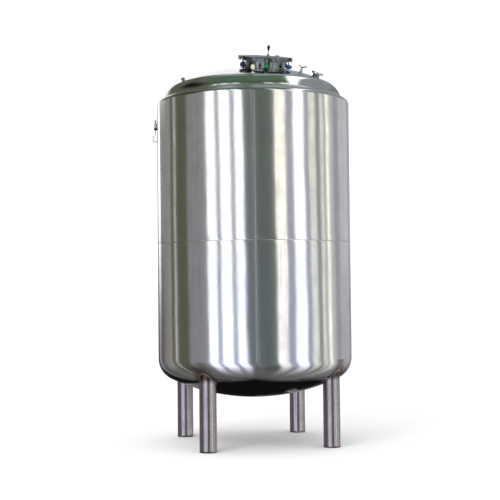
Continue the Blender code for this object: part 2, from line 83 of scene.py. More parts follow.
def crown_split(outer_r, crown_r, knuckle_r):
    """Angle at which a dished end's crown meets its knuckle."""
    return math.asin((outer_r - knuckle_r) / (crown_r - knuckle_r))


def dished_section(outer_r, crown_r, knuckle_r, crown_count=28, knuckle_count=20):
    """List (radius, rise over the tangent line) from the middle of a dished end to its rim."""
    split = crown_split(outer_r, crown_r, knuckle_r)
    drop = (crown_r - knuckle_r) * math.cos(split)
    crown = [(crown_r * math.sin(split * i / crown_count),
              crown_r * math.cos(split * i / crown_count) - drop)
             for i in range(crown_count + 1)]
    bend = [split + (math.pi / 2.0 - split) * i / knuckle_count
            for i in range(1, knuckle_count + 1)]
    return crown + [(outer_r - knuckle_r + knuckle_r * math.sin(a), knuckle_r * math.cos(a))
                    for a in bend]


DOME_RISE = dished_section(VESSEL_R, DOME_CROWN_R, DOME_KNUCKLE_R)[0][1]
DOME_TANGENT = DOME_TOP - DOME_RISE
CROWN_CENTRE = Vector((0.0, 0.0, DOME_TOP - DOME_CROWN_R))
print("dome rises", round(DOME_RISE, 4), "over its tangent line at", round(DOME_TANGENT, 3))

# %% [markdown]
# ## Working planes on the dome
#
# Fittings on a dished end are welded square to its surface, so each one leans a little. Each
# could be turned by eye, but a matrix whose Z axis is the surface normal is exact. The
# manway's own plane comes from its six bolt pins: the middle of their circle lies on its axis.

# %% Matrices for the fittings
def dome_plane(x, y):
    """Working plane on the dome's crown at x, y: Z is the normal and X stays nearly level."""
    rise = math.sqrt(DOME_CROWN_R ** 2 - x ** 2 - y ** 2)
    up = Vector((x, y, rise)).normalized()
    across = Vector((up.z, 0.0, -up.x)).normalized()
    plane = Matrix((across, up.cross(across), up)).transposed().to_4x4()
    plane.translation = CROWN_CENTRE + up * DOME_CROWN_R
    return plane


def lifted(height):
    """Matrix of a lift along Z."""
    return Matrix.Translation((0.0, 0.0, height))


def turned_by(degrees):
    """Matrix of a turn round Z."""
    return Matrix.Rotation(math.radians(degrees), 4, "Z")


def mm(*corners):
    """Corners of a small part, written in millimetres, as metres."""
    return [(across / 1000.0, high / 1000.0) for across, high in corners]


QUARTER_X, QUARTER_Y = (Matrix.Rotation(math.pi / 2.0, 4, axis) for axis in "XY")
BOLTS = [f"bolt_{i}" for i in range(1, 7)]
pins = [Vector(joints[name + "_swing"]["pos_m"]) for name in BOLTS]
ring_middle = sum(pins, Vector()) / len(pins)
manway_up = (ring_middle - CROWN_CENTRE).normalized()
manway_spot = CROWN_CENTRE + manway_up * DOME_CROWN_R
MANWAY = dome_plane(manway_spot.x, manway_spot.y)
PIN_HIGH = (ring_middle - manway_spot).length
PIN_R = (pins[0] - ring_middle).length
GAUGE, VENT, PORT, PLUG = (dome_plane(x, y) for x, y in (
    (0.009, -0.750), (0.486, -0.500), (0.640, -0.390), (-0.700, -0.360)))
print("manway at", [round(c, 3) for c in manway_spot], "pins", round(PIN_R, 3), "out and",
      round(PIN_HIGH, 3), "up")

# %% [markdown]
# ## The camera
#
# The view is from a standing person's height with a long lens, looking up by two degrees and
# half a degree out of level. The camera comes first, because it decides which details are
# large enough to matter. Three angles turned into a matrix are easier to adjust than a target.

# %% Camera
CAMERA_SPOT = Vector((0.0, -11.548, 1.558))
CAMERA_PITCH, CAMERA_YAW, CAMERA_ROLL = (math.radians(a) for a in (2.116, 0.21, 0.55))
SENSOR = 36.0
FOCAL_SHARE = 1107.8 / 500.0


def aim(spot, pitch, yaw, roll):
    """Camera matrix from its place and three angles; yaw turns it to the left."""
    ahead = Vector((-math.sin(yaw) * math.cos(pitch), math.cos(yaw) * math.cos(pitch),
                    math.sin(pitch)))
    right = ahead.cross(Vector((0.0, 0.0, 1.0))).normalized()
    up = right.cross(ahead)
    level = math.cos(roll) * right - math.sin(roll) * up
    upright = math.sin(roll) * right + math.cos(roll) * up
    pose = Matrix((level, upright, -ahead)).transposed().to_4x4()
    pose.translation = spot
    return pose


bpy.ops.object.select_all(action="DESELECT")
bpy.ops.object.camera_add()
camera = bpy.context.object
camera.data.sensor_width = SENSOR
camera.data.lens = SENSOR * FOCAL_SHARE
camera.data.clip_end = 200.0
camera.matrix_world = aim(CAMERA_SPOT, CAMERA_PITCH, CAMERA_YAW, CAMERA_ROLL)
bpy.context.scene.camera = camera
print("camera lens", round(camera.data.lens, 1), "mm at", [round(c, 2) for c in CAMERA_SPOT])

# %% [markdown]
# ## Node helpers
#
# Materials could be wired node by node, but small helpers keep them readable: one adds a node
# and fills or links its inputs, and the others wrap the few nodes that come again and again. A
# shared group only puts out values, and every material keeps its own shader.

# %% Helpers for nodes
def add_node(tree, kind, inputs=None, **settings):
    """Add a node, set its properties, and set or link its inputs."""
    made = tree.nodes.new(kind)
    for key, value in settings.items():
        setattr(made, key, value)
    for key, value in (inputs or {}).items():
        if isinstance(value, bpy.types.NodeSocket):
            tree.links.new(value, made.inputs[key])
        else:
            made.inputs[key].default_value = value
    return made


def maths(tree, operation, first, second=0.5, third=0.5, clamp=False):
    """Add a Math node and return its output."""
    return add_node(tree, "ShaderNodeMath", {0: first, 1: second, 2: third},
                    operation=operation, use_clamp=clamp).outputs[0]


def between(tree, value, low, high, start=0.0, end=1.0, kind="SMOOTHSTEP"):
    """Ramp a value from start at low to end at high."""
    return add_node(tree, "ShaderNodeMapRange",
                    {"Value": value, "From Min": low, "From Max": high, "To Min": start,
                     "To Max": end}, interpolation_type=kind).outputs[0]


def noise(tree, place, scale, detail, roughness=0.5):
    """Noise over a place, as one value."""
    return add_node(tree, "ShaderNodeTexNoise",
                    {"Vector": place, "Scale": scale, "Detail": detail,
                     "Roughness": roughness}).outputs[0]


def object_place(tree):
    """Object coordinates, in metres."""
    return add_node(tree, "ShaderNodeTexCoord").outputs["Object"]


def split(tree, place):
    """The X, Y and Z of a place."""
    return add_node(tree, "ShaderNodeSeparateXYZ", {0: place}).outputs


def cover(tree, mask, under, tone, blend="MIX"):
    """Lay one colour over another by a mask; either may be a socket."""
    under, tone = (c if isinstance(c, bpy.types.NodeSocket) else (*c, 1.0)
                   for c in (under, tone))
    return add_node(tree, "ShaderNodeMix", {"Factor": mask, 6: under, 7: tone},
                    data_type="RGBA", blend_type=blend).outputs[2]


def start_group(name, inputs, outputs):
    """Start a node group from {name: default} inputs and output names."""
    group = bpy.data.node_groups.new(name, "ShaderNodeTree")
    for key, value in inputs.items():
        kind = "NodeSocketVector" if isinstance(value, tuple) else "NodeSocketFloat"
        socket = group.interface.new_socket(key, in_out="INPUT", socket_type=kind)
        socket.default_value = value
    for key in outputs:
        group.interface.new_socket(key, in_out="OUTPUT", socket_type="NodeSocketFloat")
    print("group", name, "puts out", *outputs)
    return group, add_node(group, "NodeGroupInput").outputs, add_node(group, "NodeGroupOutput")


def use_group(tree, group, **inputs):
    """Put a group in a material; underscores in names stand for spaces."""
    return add_node(tree, "ShaderNodeGroup",
                    {key.replace("_", " "): value for key, value in inputs.items()},
                    node_tree=group).outputs


# %% [markdown]
# ## Shared effects
#
# Rolled sheet is never quite flat. Three effects make the metal believable: long shallow waves
# that bend the reflections, fine streaks from the mill, and a brown darkening towards the floor.
# Each could be painted on every piece. As groups on Object coordinates in metres they are
# built once and keep their real size.

# %% Group: long waves and fine streaks of rolled sheet
sheet_group, given, result = start_group(
    "rolled_sheet", {"Wave Size": 2.2, "Streak Stretch": (60.0, 60.0, 1.4)},
    ("Wave", "Streak", "Cloud"))
place = object_place(sheet_group)
stretched = add_node(sheet_group, "ShaderNodeVectorMath",
                     {0: place, 1: given["Streak Stretch"]}, operation="MULTIPLY").outputs[0]
for name, at, scale, detail, roughness in (("Wave", place, given["Wave Size"], 1.0, 0.4),
                                           ("Streak", stretched, 1.0, 4.0, 0.6),
                                           ("Cloud", place, 5.0, 5.0, 0.65)):
    sheet_group.links.new(noise(sheet_group, at, scale, detail, roughness), result.inputs[name])

# %% Group: darkening that fades with height over the floor
low_darkening_group, given, result = start_group("darker_near_floor", {"Reach": 0.12, "Amount": 1.0}, ("Darkening",))
place = object_place(low_darkening_group)
blotch = noise(low_darkening_group, place, 24.0, 5.0, 0.7)
ragged = maths(low_darkening_group, "MULTIPLY_ADD", blotch, given["Reach"], split(low_darkening_group, place)["Z"])
low = maths(low_darkening_group, "MULTIPLY", given["Reach"], 0.5)
fade = between(low_darkening_group, ragged, low, given["Reach"], 1.0, 0.0)
low_darkening_group.links.new(maths(low_darkening_group, "MULTIPLY", fade, given["Amount"], clamp=True),
                     result.inputs["Darkening"])

# %% Group: moulded plastic grain with dust in it
plastic_group, given, result = start_group("moulded_grain", {"Grain Size": 900.0},
                                           ("Grain", "Dust"))
place = object_place(plastic_group)
plastic_group.links.new(noise(plastic_group, place, given["Grain Size"], 2.0),
                        result.inputs["Grain"])
dust = noise(plastic_group, place, 60.0, 6.0, 0.7)
plastic_group.links.new(between(plastic_group, dust, 0.52, 0.72), result.inputs["Dust"])

# %% [markdown]
# ## Steel finishes
#
# The jacket is bright satin sheet: a metal with low roughness, so that the room shows as upright
# bands with soft edges. The dome is polished further, the legs are duller pipe, and the turned
# parts sit in between. One recipe with different numbers serves them all, because they differ
# in polish and not in kind.

# %% The steel recipe
# Brown that the legs darken to towards the floor
LOW_DARK_BROWN = (0.07, 0.055, 0.04)
# Dark brown near the legs' tops: partly heat tint, partly painted shade under the dished
# underside
TINT_AND_SHADE_BROWN = (0.07, 0.045, 0.032)


def blank_material(name):
    """Make a material and return it with its tree and its Principled shader."""
    made = bpy.data.materials.new(name)
    made.use_nodes = True
    print("material", name)
    return made, made.node_tree, made.node_tree.nodes["Principled BSDF"]


def finish_shader(tree, shader, colour, roughness, height=None, distance=0.0):
    """Link a colour, a roughness and, where there is one, a bump."""
    tree.links.new(colour, shader.inputs["Base Color"])
    tree.links.new(roughness, shader.inputs["Roughness"])
    if height:
        bump = add_node(tree, "ShaderNodeBump", {"Height": height, "Distance": distance})
        tree.links.new(bump.outputs[0], shader.inputs["Normal"])


def steel(name, light, dark, smooth, rough, wave=0.0, wave_size=2.2,
          stretch=(60.0, 60.0, 1.4), darken_low=0.0, reach=0.12, tint_shade_from=0.0):
    """Steel whose colour and roughness vary along its grain, with optional waves, darkening
    towards the floor, and above a given height a dark brown of heat tint and painted shade."""
    made, tree, shader = blank_material(name)
    sheet = use_group(tree, sheet_group, Wave_Size=wave_size, Streak_Stretch=stretch)
    shader.inputs["Metallic"].default_value = 1.0
    mark = maths(tree, "MULTIPLY_ADD", sheet["Cloud"], 0.5,
                 maths(tree, "MULTIPLY", sheet["Streak"], 0.5))
    colour = cover(tree, between(tree, mark, 0.38, 0.62), light, dark)
    spread = between(tree, mark, 0.35, 0.65, smooth, rough, "LINEAR")
    if darken_low:
        # Darken the colour to brown towards the floor, fading out at the given reach
        low_dark = use_group(tree, low_darkening_group, Reach=reach, Amount=darken_low)["Darkening"]
        colour = cover(tree, low_dark, colour, LOW_DARK_BROWN)
        spread = maths(tree, "MAXIMUM", spread, maths(tree, "MULTIPLY", low_dark, 0.7))
    # Above the given height: heat tint with painted shade where the legs meet the underside
    if tint_shade_from:
        uneven = maths(tree, "MULTIPLY_ADD", sheet["Cloud"], 0.05,
                       split(tree, object_place(tree))["Z"])
        colour = cover(tree, between(tree, uneven, tint_shade_from, tint_shade_from + 0.06), colour, TINT_AND_SHADE_BROWN)
    fine = maths(tree, "MULTIPLY_ADD", sheet["Streak"], 0.004, sheet["Wave"]) if wave else None
    finish_shader(tree, shader, colour, spread, fine, wave)
    return made


# %% The steels
jacket_steel = steel("satin_jacket", (0.66, 0.665, 0.67), (0.58, 0.58, 0.58), 0.10, 0.17,
                     wave=0.006, wave_size=1.6)
dome_steel = steel("polished_dome", (0.68, 0.685, 0.69), (0.60, 0.60, 0.60), 0.09, 0.15,
                   wave=0.004, wave_size=2.6, stretch=(14.0, 14.0, 14.0))
neck_steel = steel("polished_neck", (0.20, 0.23, 0.22), (0.14, 0.17, 0.16), 0.16, 0.26,
                   wave=0.001, wave_size=9.0)
lid_steel = steel("polished_lid", (0.15, 0.16, 0.16), (0.10, 0.11, 0.11), 0.18, 0.28,
                  wave=0.001, wave_size=8.0, stretch=(40.0, 40.0, 40.0))
turned_steel = steel("turned_steel", (0.58, 0.58, 0.58), (0.44, 0.44, 0.44), 0.20, 0.34,
                     stretch=(90.0, 90.0, 90.0))
weld_steel = steel("weld_bead", (0.56, 0.54, 0.51), (0.34, 0.32, 0.29), 0.26, 0.44,
                   stretch=(200.0, 200.0, 200.0))
# Legs: brown darkening over the lowest 5 cm, and above 0.68 m heat tint with painted shade
leg_steel = steel("pipe_leg", (0.36, 0.325, 0.335), (0.29, 0.26, 0.27), 0.20, 0.28, wave=0.0003,
                  wave_size=6.0, stretch=(50.0, 50.0, 0.8), darken_low=1.0, reach=0.05, tint_shade_from=0.68)
dull_steel = steel("dull_casting", (0.14, 0.14, 0.145), (0.08, 0.08, 0.085), 0.32, 0.48,
                   stretch=(120.0, 120.0, 120.0))
inner_steel = steel("vessel_inside", (0.60, 0.60, 0.60), (0.50, 0.50, 0.50), 0.22, 0.34,
                    stretch=(20.0, 20.0, 20.0))

# %% [markdown]
# ## The underside's finish
#
# Heat from welding the legs leaves brown rings on the dished underside. They could be painted,
# but are worked out from the distance to the nearest leg, so that they follow the legs.

# %% Underside steel with heat rings round the legs
HEAT_BROWN = (0.20, 0.13, 0.08)
LEGS = ("leg_front_left", "leg_front_right", "leg_back_right", "leg_back_left")
leg_middles = {name: (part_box(name)[0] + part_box(name)[1]) / 2.0 for name in LEGS}
LEG_R = (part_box(LEGS[0])[1].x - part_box(LEGS[0])[0].x) / 2.0

under_steel, tree, shader = blank_material("dished_underside")
shader.inputs["Metallic"].default_value = 1.0
spot = split(tree, object_place(tree))
flat = add_node(tree, "ShaderNodeCombineXYZ", {"X": spot["X"], "Y": spot["Y"]}).outputs[0]
nearest = 9.0
for middle in leg_middles.values():
    gap = add_node(tree, "ShaderNodeVectorMath", {0: flat, 1: (middle.x, middle.y, 0.0)},
                   operation="DISTANCE").outputs["Value"]
    nearest = maths(tree, "MINIMUM", gap, nearest)
sheet = use_group(tree, sheet_group, Wave_Size=3.0, Streak_Stretch=(16.0, 16.0, 16.0))
uneven = maths(tree, "MULTIPLY_ADD", sheet["Cloud"], 0.05, nearest)
heat = between(tree, uneven, LEG_R + 0.03, LEG_R + 0.10, 0.85, 0.0)
clean = cover(tree, sheet["Cloud"], (0.66, 0.665, 0.67), (0.54, 0.54, 0.54))
finish_shader(tree, shader, cover(tree, heat, clean, HEAT_BROWN),
              between(tree, sheet["Cloud"], 0.3, 0.7, 0.10, 0.18, "LINEAR"),
              sheet["Wave"], 0.004)

# %% [markdown]
# ## Plastics, rubber and the dial
#
# The bolt knobs are moulded plastic in green, blue and navy, and the grips are black. A plain
# colour would look like paint, so a fine grain breaks the highlight and a little dust sits in it.

# %% Plastics and the dial
def plastic(name, colour, dusty, roughness, grain=0.00004):
    """Moulded plastic with a fine grain, a little dust and a soft gloss."""
    made, tree, shader = blank_material(name)
    mould = use_group(tree, plastic_group, Grain_Size=900.0)
    colour = cover(tree, maths(tree, "MULTIPLY", mould["Dust"], 0.35), colour, dusty)
    worn = maths(tree, "MULTIPLY_ADD", mould["Dust"], 0.2, roughness)
    finish_shader(tree, shader, colour, worn, mould["Grain"], grain)
    return made


green_plastic = plastic("green_plastic", (0.004, 0.16, 0.085), (0.06, 0.20, 0.14), 0.32)
blue_plastic = plastic("blue_plastic", (0.010, 0.075, 0.30), (0.08, 0.14, 0.30), 0.30)
navy_plastic = plastic("navy_plastic", (0.012, 0.010, 0.085), (0.06, 0.06, 0.14), 0.30)
black_plastic = plastic("black_plastic", (0.010, 0.010, 0.011), (0.06, 0.06, 0.06), 0.28)
rubber = plastic("white_rubber", (0.55, 0.55, 0.52), (0.40, 0.38, 0.34), 0.62, 0.0001)
dial_paint = plastic("dial_face", (0.78, 0.75, 0.60), (0.66, 0.62, 0.48), 0.35, 0.00001)
ink = plastic("dial_ink", (0.015, 0.015, 0.015), (0.05, 0.05, 0.05), 0.40, 0.00001)

# %% [markdown]
# ## Modelling helpers
#
# Nearly everything on a tank is round or cut from plate. A round piece could start from a
# cylinder, but a drawn section carries every step and bevel at once: half a section is drawn by
# extruding one corner and then spun round Z. A plate is drawn the same way, filled, and pulled
# to its thickness.

# %% Add, draw, spin and cut
def deselect():
    """Leave edit mode and deselect everything, the frame's nodes included."""
    if bpy.context.object and bpy.context.object.mode != "OBJECT":
        bpy.ops.object.mode_set(mode="OBJECT")
    bpy.ops.object.select_all(action="DESELECT")


def pick(piece):
    """Make one piece the only selected and active one."""
    deselect()
    piece.select_set(True)
    bpy.context.view_layer.objects.active = piece


def add(primitive, name, stretch=None, **settings):
    """Add a primitive on its own, name it, and stretch it if asked."""
    deselect()
    primitive(**settings)
    piece = bpy.context.object
    piece.name = piece.data.name = name
    if stretch:
        bpy.ops.transform.resize(value=stretch)
        bpy.ops.object.transform_apply(location=False, rotation=False, scale=True)
    return piece


def draw_line(name, spots, closed):
    """Extrude one corner along a list of 3D spots. The new object stays in edit mode."""
    piece = add(bpy.ops.mesh.primitive_plane_add, name, size=0.01)
    bpy.ops.object.mode_set(mode="EDIT")
    bpy.ops.mesh.merge(type="CENTER")
    here = Vector(spots[0])
    bpy.ops.transform.translate(value=here)
    for spot in list(spots[1:]) + [spots[0]] * closed:
        bpy.ops.mesh.extrude_vertices_move(
            TRANSFORM_OT_translate={"value": Vector(spot) - here})
        here = Vector(spot)
    bpy.ops.mesh.select_all(action="SELECT")
    bpy.ops.mesh.remove_doubles(threshold=0.00001)
    return piece


def tidy_mesh():
    """Merge doubles and turn the faces outwards, in edit mode, then leave it."""
    bpy.ops.mesh.select_all(action="SELECT")
    bpy.ops.mesh.remove_doubles(threshold=0.00001)
    bpy.ops.mesh.normals_make_consistent(inside=False)
    bpy.ops.object.mode_set(mode="OBJECT")


def spin_section(name, section, steps=64, closed=False):
    """Spin a section of (radius, height) corners round Z."""
    piece = draw_line(name, [(r, 0.0, z) for r, z in section], closed)
    bpy.ops.mesh.spin(steps=steps, angle=2.0 * math.pi, center=(0.0, 0.0, 0.0),
                      axis=(0.0, 0.0, 1.0))
    tidy_mesh()
    return piece


def cut_plate(name, outline, low, high):
    """Fill an outline of (x, z) corners and pull it from y = low to y = high."""
    piece = draw_line(name, [(x, low, z) for x, z in outline], True)
    bpy.ops.mesh.edge_face_add()
    bpy.ops.mesh.extrude_region_move(TRANSFORM_OT_translate={"value": (0.0, high - low, 0.0)})
    tidy_mesh()
    return piece


# %% Bevel, carve, copy and place
def bevel(piece, width, segments=2, angle=35.0):
    """Round the sharp edges of a piece with an applied Bevel modifier."""
    pick(piece)
    edge = piece.modifiers.new("bevel", "BEVEL")
    edge.width = width
    edge.segments = segments
    edge.limit_method = "ANGLE"
    edge.angle_limit = math.radians(angle)
    bpy.ops.object.modifier_apply(modifier=edge.name)
    return piece


def carve(piece, tool, operation="DIFFERENCE"):
    """Cut or join a piece with another, which is used up."""
    pick(piece)
    cut = piece.modifiers.new("carve", "BOOLEAN")
    cut.operation = operation
    cut.solver = "EXACT"
    cut.object = tool
    bpy.ops.object.modifier_apply(modifier=cut.name)
    bpy.data.objects.remove(tool, do_unlink=True)
    return piece


def twin_plates(name, outline, near, far):
    """Two equal plates either side of the middle, as one piece."""
    return carve(cut_plate(name, outline, near, far),
                 cut_plate("other_" + name, outline, -far, -near), "UNION")


def copy_as(pattern, name):
    """Copy a pattern under a new name, with a mesh of its own."""
    twin = pattern.copy()
    twin.data = pattern.data.copy()
    twin.name = twin.data.name = name
    bpy.context.collection.objects.link(twin)
    return twin


def discard(*patterns):
    """Remove patterns after their copies are made."""
    for pattern in patterns:
        bpy.data.objects.remove(pattern, do_unlink=True)


def move_to(piece, place):
    """Put a piece in its place and apply it, so that the object stays at the origin."""
    pick(piece)
    piece.matrix_world = place
    bpy.ops.object.transform_apply(location=True, rotation=True, scale=True)
    return piece


def hand_over(piece, body, slot, finish, stands_for=(), place=None, smooth=32.0):
    """Place, shade, paint and hang a finished piece on its body."""
    if place:
        move_to(piece, place)
    pick(piece)
    bpy.ops.object.shade_smooth_by_angle(angle=math.radians(smooth))
    piece.data.materials.clear()
    piece.data.materials.append(finish)
    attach(piece, body)
    if stands_for:
        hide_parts(*stands_for)
    print(piece.name, "rides", body, [round(1000.0 * c, 1) for c in piece.dimensions], "mm")
    return piece


def turned(name, section, steps, place, *hanging, closed=False, **more):
    """Spin a section and hand it over in its place."""
    return hand_over(spin_section(name, section, steps, closed), *hanging, place=place, **more)


def bead(name, major, minor, flat, steps, ripple=0.82):
    """Weld bead: a flattened ring whose every second section is pinched, lying round Z."""
    ring = add(bpy.ops.mesh.primitive_torus_add, name, major_radius=major, minor_radius=minor,
               major_segments=steps, minor_segments=6)
    for corner in ring.data.vertices:
        turn = math.atan2(corner.co.y, corner.co.x)
        section = round(turn / (2.0 * math.pi) * steps) % 2
        middle = Vector((major * math.cos(turn), major * math.sin(turn), 0.0))
        reach = (corner.co - middle) * (ripple if section else 1.0)
        reach.z *= flat
        corner.co = middle + reach
    return ring


# %% [markdown]
# ## The jacket
#
# The jacket is two rolled courses. A cylinder would do for a matt tank, but polished sheet shows
# facets and flatness at once. So each course is a thin ring with 256 sides, and near the girth
# seam it draws in by a millimetre, as welded sheet does. Each replaces two CAD plates.

# %% Jacket courses
DRAW_IN = 0.0012


def course_section(low, high, seam):
    """Closed section of a course; seam is the edge at which the sheet draws in."""
    outer = []
    for share in (0.0, 0.004, 0.02, 0.05, 0.2, 0.5, 0.8, 0.95, 0.98, 0.996, 1.0):
        height = high + (low - high) * share
        pull = DRAW_IN * max(0.0, 1.0 - abs(height - seam) / 0.05) ** 2
        outer.append((SHELL_R - pull, height))
    return outer + [(r - SHEET, z) for r, z in reversed(outer)]


for name, low, high in (("lower", SHELL_LOW, GIRTH), ("upper", GIRTH, SHELL_TOP)):
    turned(name + "_course", course_section(low, high, GIRTH), ROUND_STEPS, None, "tank", "steel",
           jacket_steel, (f"jacket_{name}_left", f"jacket_{name}_right"), closed=True)

# %% [markdown]
# ## Shoulder, dome and underside
#
# The sloped shoulder closes the jacket against the dome. A scaled sphere would be quicker for
# the ends, but has the wrong curve at the knuckle, where the reflections crowd together. So the
# dome and the underside are spun from their own sections with a real wall, and bored where the
# manway and the legs go.

# %% Shoulder ring
SHOULDER_BEND = 0.035
SHOULDER_SLOPE = math.radians(55.0)
SHOULDER_LIP = 0.9224


def shoulder_bend(radius):
    """Arc of the shoulder's bend at a radius."""
    turns = [SHOULDER_SLOPE * i / 10.0 for i in range(11)]
    return [(SHELL_R - SHOULDER_BEND + radius * math.cos(a), SHELL_TOP + radius * math.sin(a))
            for a in turns]


under_lip = SHOULDER_HIGH - SHEET / math.sin(SHOULDER_SLOPE)
turned("shoulder", shoulder_bend(SHOULDER_BEND) +
       [(SHOULDER_LIP, SHOULDER_HIGH), (SHOULDER_LIP, under_lip)] +
       shoulder_bend(SHOULDER_BEND - SHEET)[::-1], ROUND_STEPS, None, "tank", "steel",
       jacket_steel, ("shoulder_ring",), closed=True)

# %% Dome, bored for the manway
NECK_R = 0.2032
STRAIGHT_FLANGE = 0.040
BORE_SHY = 0.001


def shell_section(outer, wall_r, wall, tangent, sign, flange):
    """Closed section of a dished end with its wall; sign is 1 for a dome, -1 for a dish."""
    crown_r, knuckle_r = outer
    skin = dished_section(wall_r, crown_r, knuckle_r)
    lining = dished_section(wall_r - wall, crown_r - wall, knuckle_r - wall)
    rim = [(wall_r, -flange), (wall_r - wall, -flange)] if flange else []
    points = skin + rim + list(reversed(lining))
    return [(r, tangent + sign * z) for r, z in points]


dome = spin_section("dome", shell_section((DOME_CROWN_R, DOME_KNUCKLE_R), VESSEL_R, PLATE,
                                          DOME_TANGENT, 1.0, STRAIGHT_FLANGE), ROUND_STEPS, True)
bore = add(bpy.ops.mesh.primitive_cylinder_add, "manway_bore", vertices=96,
           radius=NECK_R - BORE_SHY, depth=0.2)
carve(dome, move_to(bore, MANWAY))
hand_over(dome, "tank", "polished_steel", dome_steel, ("top_head",))

# %% Underside, bored for the legs
underside = spin_section("underside", shell_section((UNDER_CROWN_R, UNDER_KNUCKLE_R), SHELL_R,
                                                    SHEET, SHELL_LOW, -1.0, 0.0),
                         ROUND_STEPS, True)
for middle in leg_middles.values():
    carve(underside, add(bpy.ops.mesh.primitive_cylinder_add, "leg_bore", vertices=96,
                         radius=LEG_R - BORE_SHY, depth=0.8,
                         location=(middle.x, middle.y, 0.45)))
hand_over(underside, "tank", "steel", under_steel, ("jacket_bottom",))

# %% [markdown]
# ## Legs
#
# Each leg is a closed length of pipe whose top is cut on a slant, below the vessel inside the
# jacket. The weld where pipe meets underside is not flat, so a plain ring would sink in on one
# side: the bead starts as a level ring, and each corner is raised to the dish over it.

# %% Legs and their welds
LEG_LONG = 0.82
LEG_CUT_HIGH = 0.762
LEG_EDGE = 0.002
CUT_RISE, CUT_LEAN = 0.9, 0.42


def underside_height(radius):
    """Height of the underside's outer face at a distance from the tank's axis."""
    bend_at = SHELL_R - UNDER_KNUCKLE_R
    split_at = crown_split(SHELL_R, UNDER_CROWN_R, UNDER_KNUCKLE_R)
    if radius < UNDER_CROWN_R * math.sin(split_at):
        drop = (UNDER_CROWN_R - UNDER_KNUCKLE_R) * math.cos(split_at)
        return SHELL_LOW + drop - math.sqrt(UNDER_CROWN_R ** 2 - radius ** 2)
    return SHELL_LOW - math.sqrt(max(UNDER_KNUCKLE_R ** 2 - (radius - bend_at) ** 2, 0.0))


for name, middle in leg_middles.items():
    pipe = spin_section(name.replace("leg", "pipe"),
                        [(0.0, 0.0), (LEG_R - LEG_EDGE, 0.0), (LEG_R, LEG_EDGE),
                         (LEG_R, LEG_LONG), (0.0, LEG_LONG)], 96)
    move_to(pipe, Matrix.Translation((middle.x, middle.y, 0.0)))
    outwards = Vector((middle.x, middle.y, 0.0)).normalized()
    bpy.ops.object.mode_set(mode="EDIT")
    bpy.ops.mesh.select_all(action="SELECT")
    bpy.ops.mesh.bisect(plane_co=(middle.x, middle.y, LEG_CUT_HIGH),
                        plane_no=Vector((0.0, 0.0, CUT_RISE)) - CUT_LEAN * outwards,
                        use_fill=True, clear_outer=True)
    tidy_mesh()
    hand_over(pipe, "tank", "dull_steel", leg_steel, (name,))
    weld = bead(name.replace("leg", "weld"), LEG_R + 0.0015, 0.0045, 1.0, 160)
    for corner in weld.data.vertices:
        spot = Vector((corner.co.x + middle.x, corner.co.y + middle.y, 0.0))
        corner.co = Vector((spot.x, spot.y, corner.co.z + underside_height(spot.length)))
    hand_over(weld, "tank", "steel", weld_steel)

# %% [markdown]
# ## Weld beads on the jacket
#
# The girth seam is a narrow bead right round the tank, with the ripple that each pass of the
# torch leaves. A bump map could fake it, but the bead catches the light as a line, so it is
# real. The upright seams are ground almost flush, and the seam between jacket and underside
# quite flush, so it has no bead. One more bead closes the shoulder against the dome.

# %% Girth and shoulder welds
girth_bead_r = SHELL_R - DRAW_IN
girth_weld = bead("girth_weld", girth_bead_r, 0.0050, 0.9, 900)
for corner in girth_weld.data.vertices:
    out = Vector((corner.co.x, corner.co.y, 0.0))
    corner.co -= out.normalized() * (out.length - girth_bead_r) * 0.78
hand_over(girth_weld, "tank", "steel", weld_steel, place=lifted(GIRTH))
hand_over(bead("shoulder_weld", SHOULDER_LIP + 0.0010, 0.0040, 1.0, 900), "tank", "steel",
          weld_steel, place=lifted(SHOULDER_HIGH - 0.001))

# %% Upright seams, ground nearly flush
for side, turn in (("front", SEAM_TURN), ("back", SEAM_TURN + math.pi)):
    for level, low, high in (("low", SHELL_LOW, GIRTH), ("high", GIRTH, SHELL_TOP)):
        strip = add(bpy.ops.mesh.primitive_cylinder_add, f"{side}_seam_{level}",
                    (0.18, 1.0, 1.0), vertices=12, radius=0.0022, depth=high - low - 0.008)
        stand = Matrix.Rotation(turn, 4, "Z") @ Matrix.Translation(
            (SHELL_R - 0.0003, 0.0, (low + high) / 2.0))
        hand_over(strip, "tank", "steel", jacket_steel, place=stand)

# %% [markdown]
# ## Manway neck and ring
#
# The neck is a short piece of pipe with a flat ring at its rim. Six forks on the ring hold the
# swing bolts. Each fork is two cheeks on a web with a pin through them. Six could be cut from
# the ring, but one fork is modelled and copied to each pin, so that all are alike.

# %% Neck, weld, rim ring and gasket
NECK_TOP = 0.0887
NECK_FOOT = -0.034
RING_R = 0.232
RING_LOW = 0.0765
FIT = 0.0005
turned("neck_pipe", [(NECK_R, NECK_TOP), (NECK_R, NECK_FOOT), (NECK_R - PLATE, NECK_FOOT),
                     (NECK_R - PLATE, NECK_TOP)], 128, MANWAY, "tank", "polished_steel",
       neck_steel, ("manway_neck",), closed=True)
sink = DOME_CROWN_R - math.sqrt(DOME_CROWN_R ** 2 - NECK_R ** 2)
hand_over(bead("neck_weld", NECK_R + 0.002, 0.005, 1.0, 220), "tank", "polished_steel",
          weld_steel, place=MANWAY @ lifted(-sink))
turned("rim_ring", [(RING_R, NECK_TOP - 0.001), (RING_R, RING_LOW + 0.001),
                    (RING_R - 0.001, RING_LOW), (NECK_R + FIT, RING_LOW),
                    (NECK_R + FIT, NECK_TOP), (RING_R - 0.001, NECK_TOP)], 128, MANWAY, "tank",
       "steel", turned_steel, ("manway_ring",), closed=True)
gasket = spin_section("lid_gasket", [(0.229, 0.0955), (0.229, NECK_TOP + 0.0004),
                                     (0.207, NECK_TOP + 0.0004), (0.207, 0.0955)], 96, True)
hand_over(bevel(gasket, 0.002, 3), "tank", "rubber", rubber, ("manway_gasket",), MANWAY)


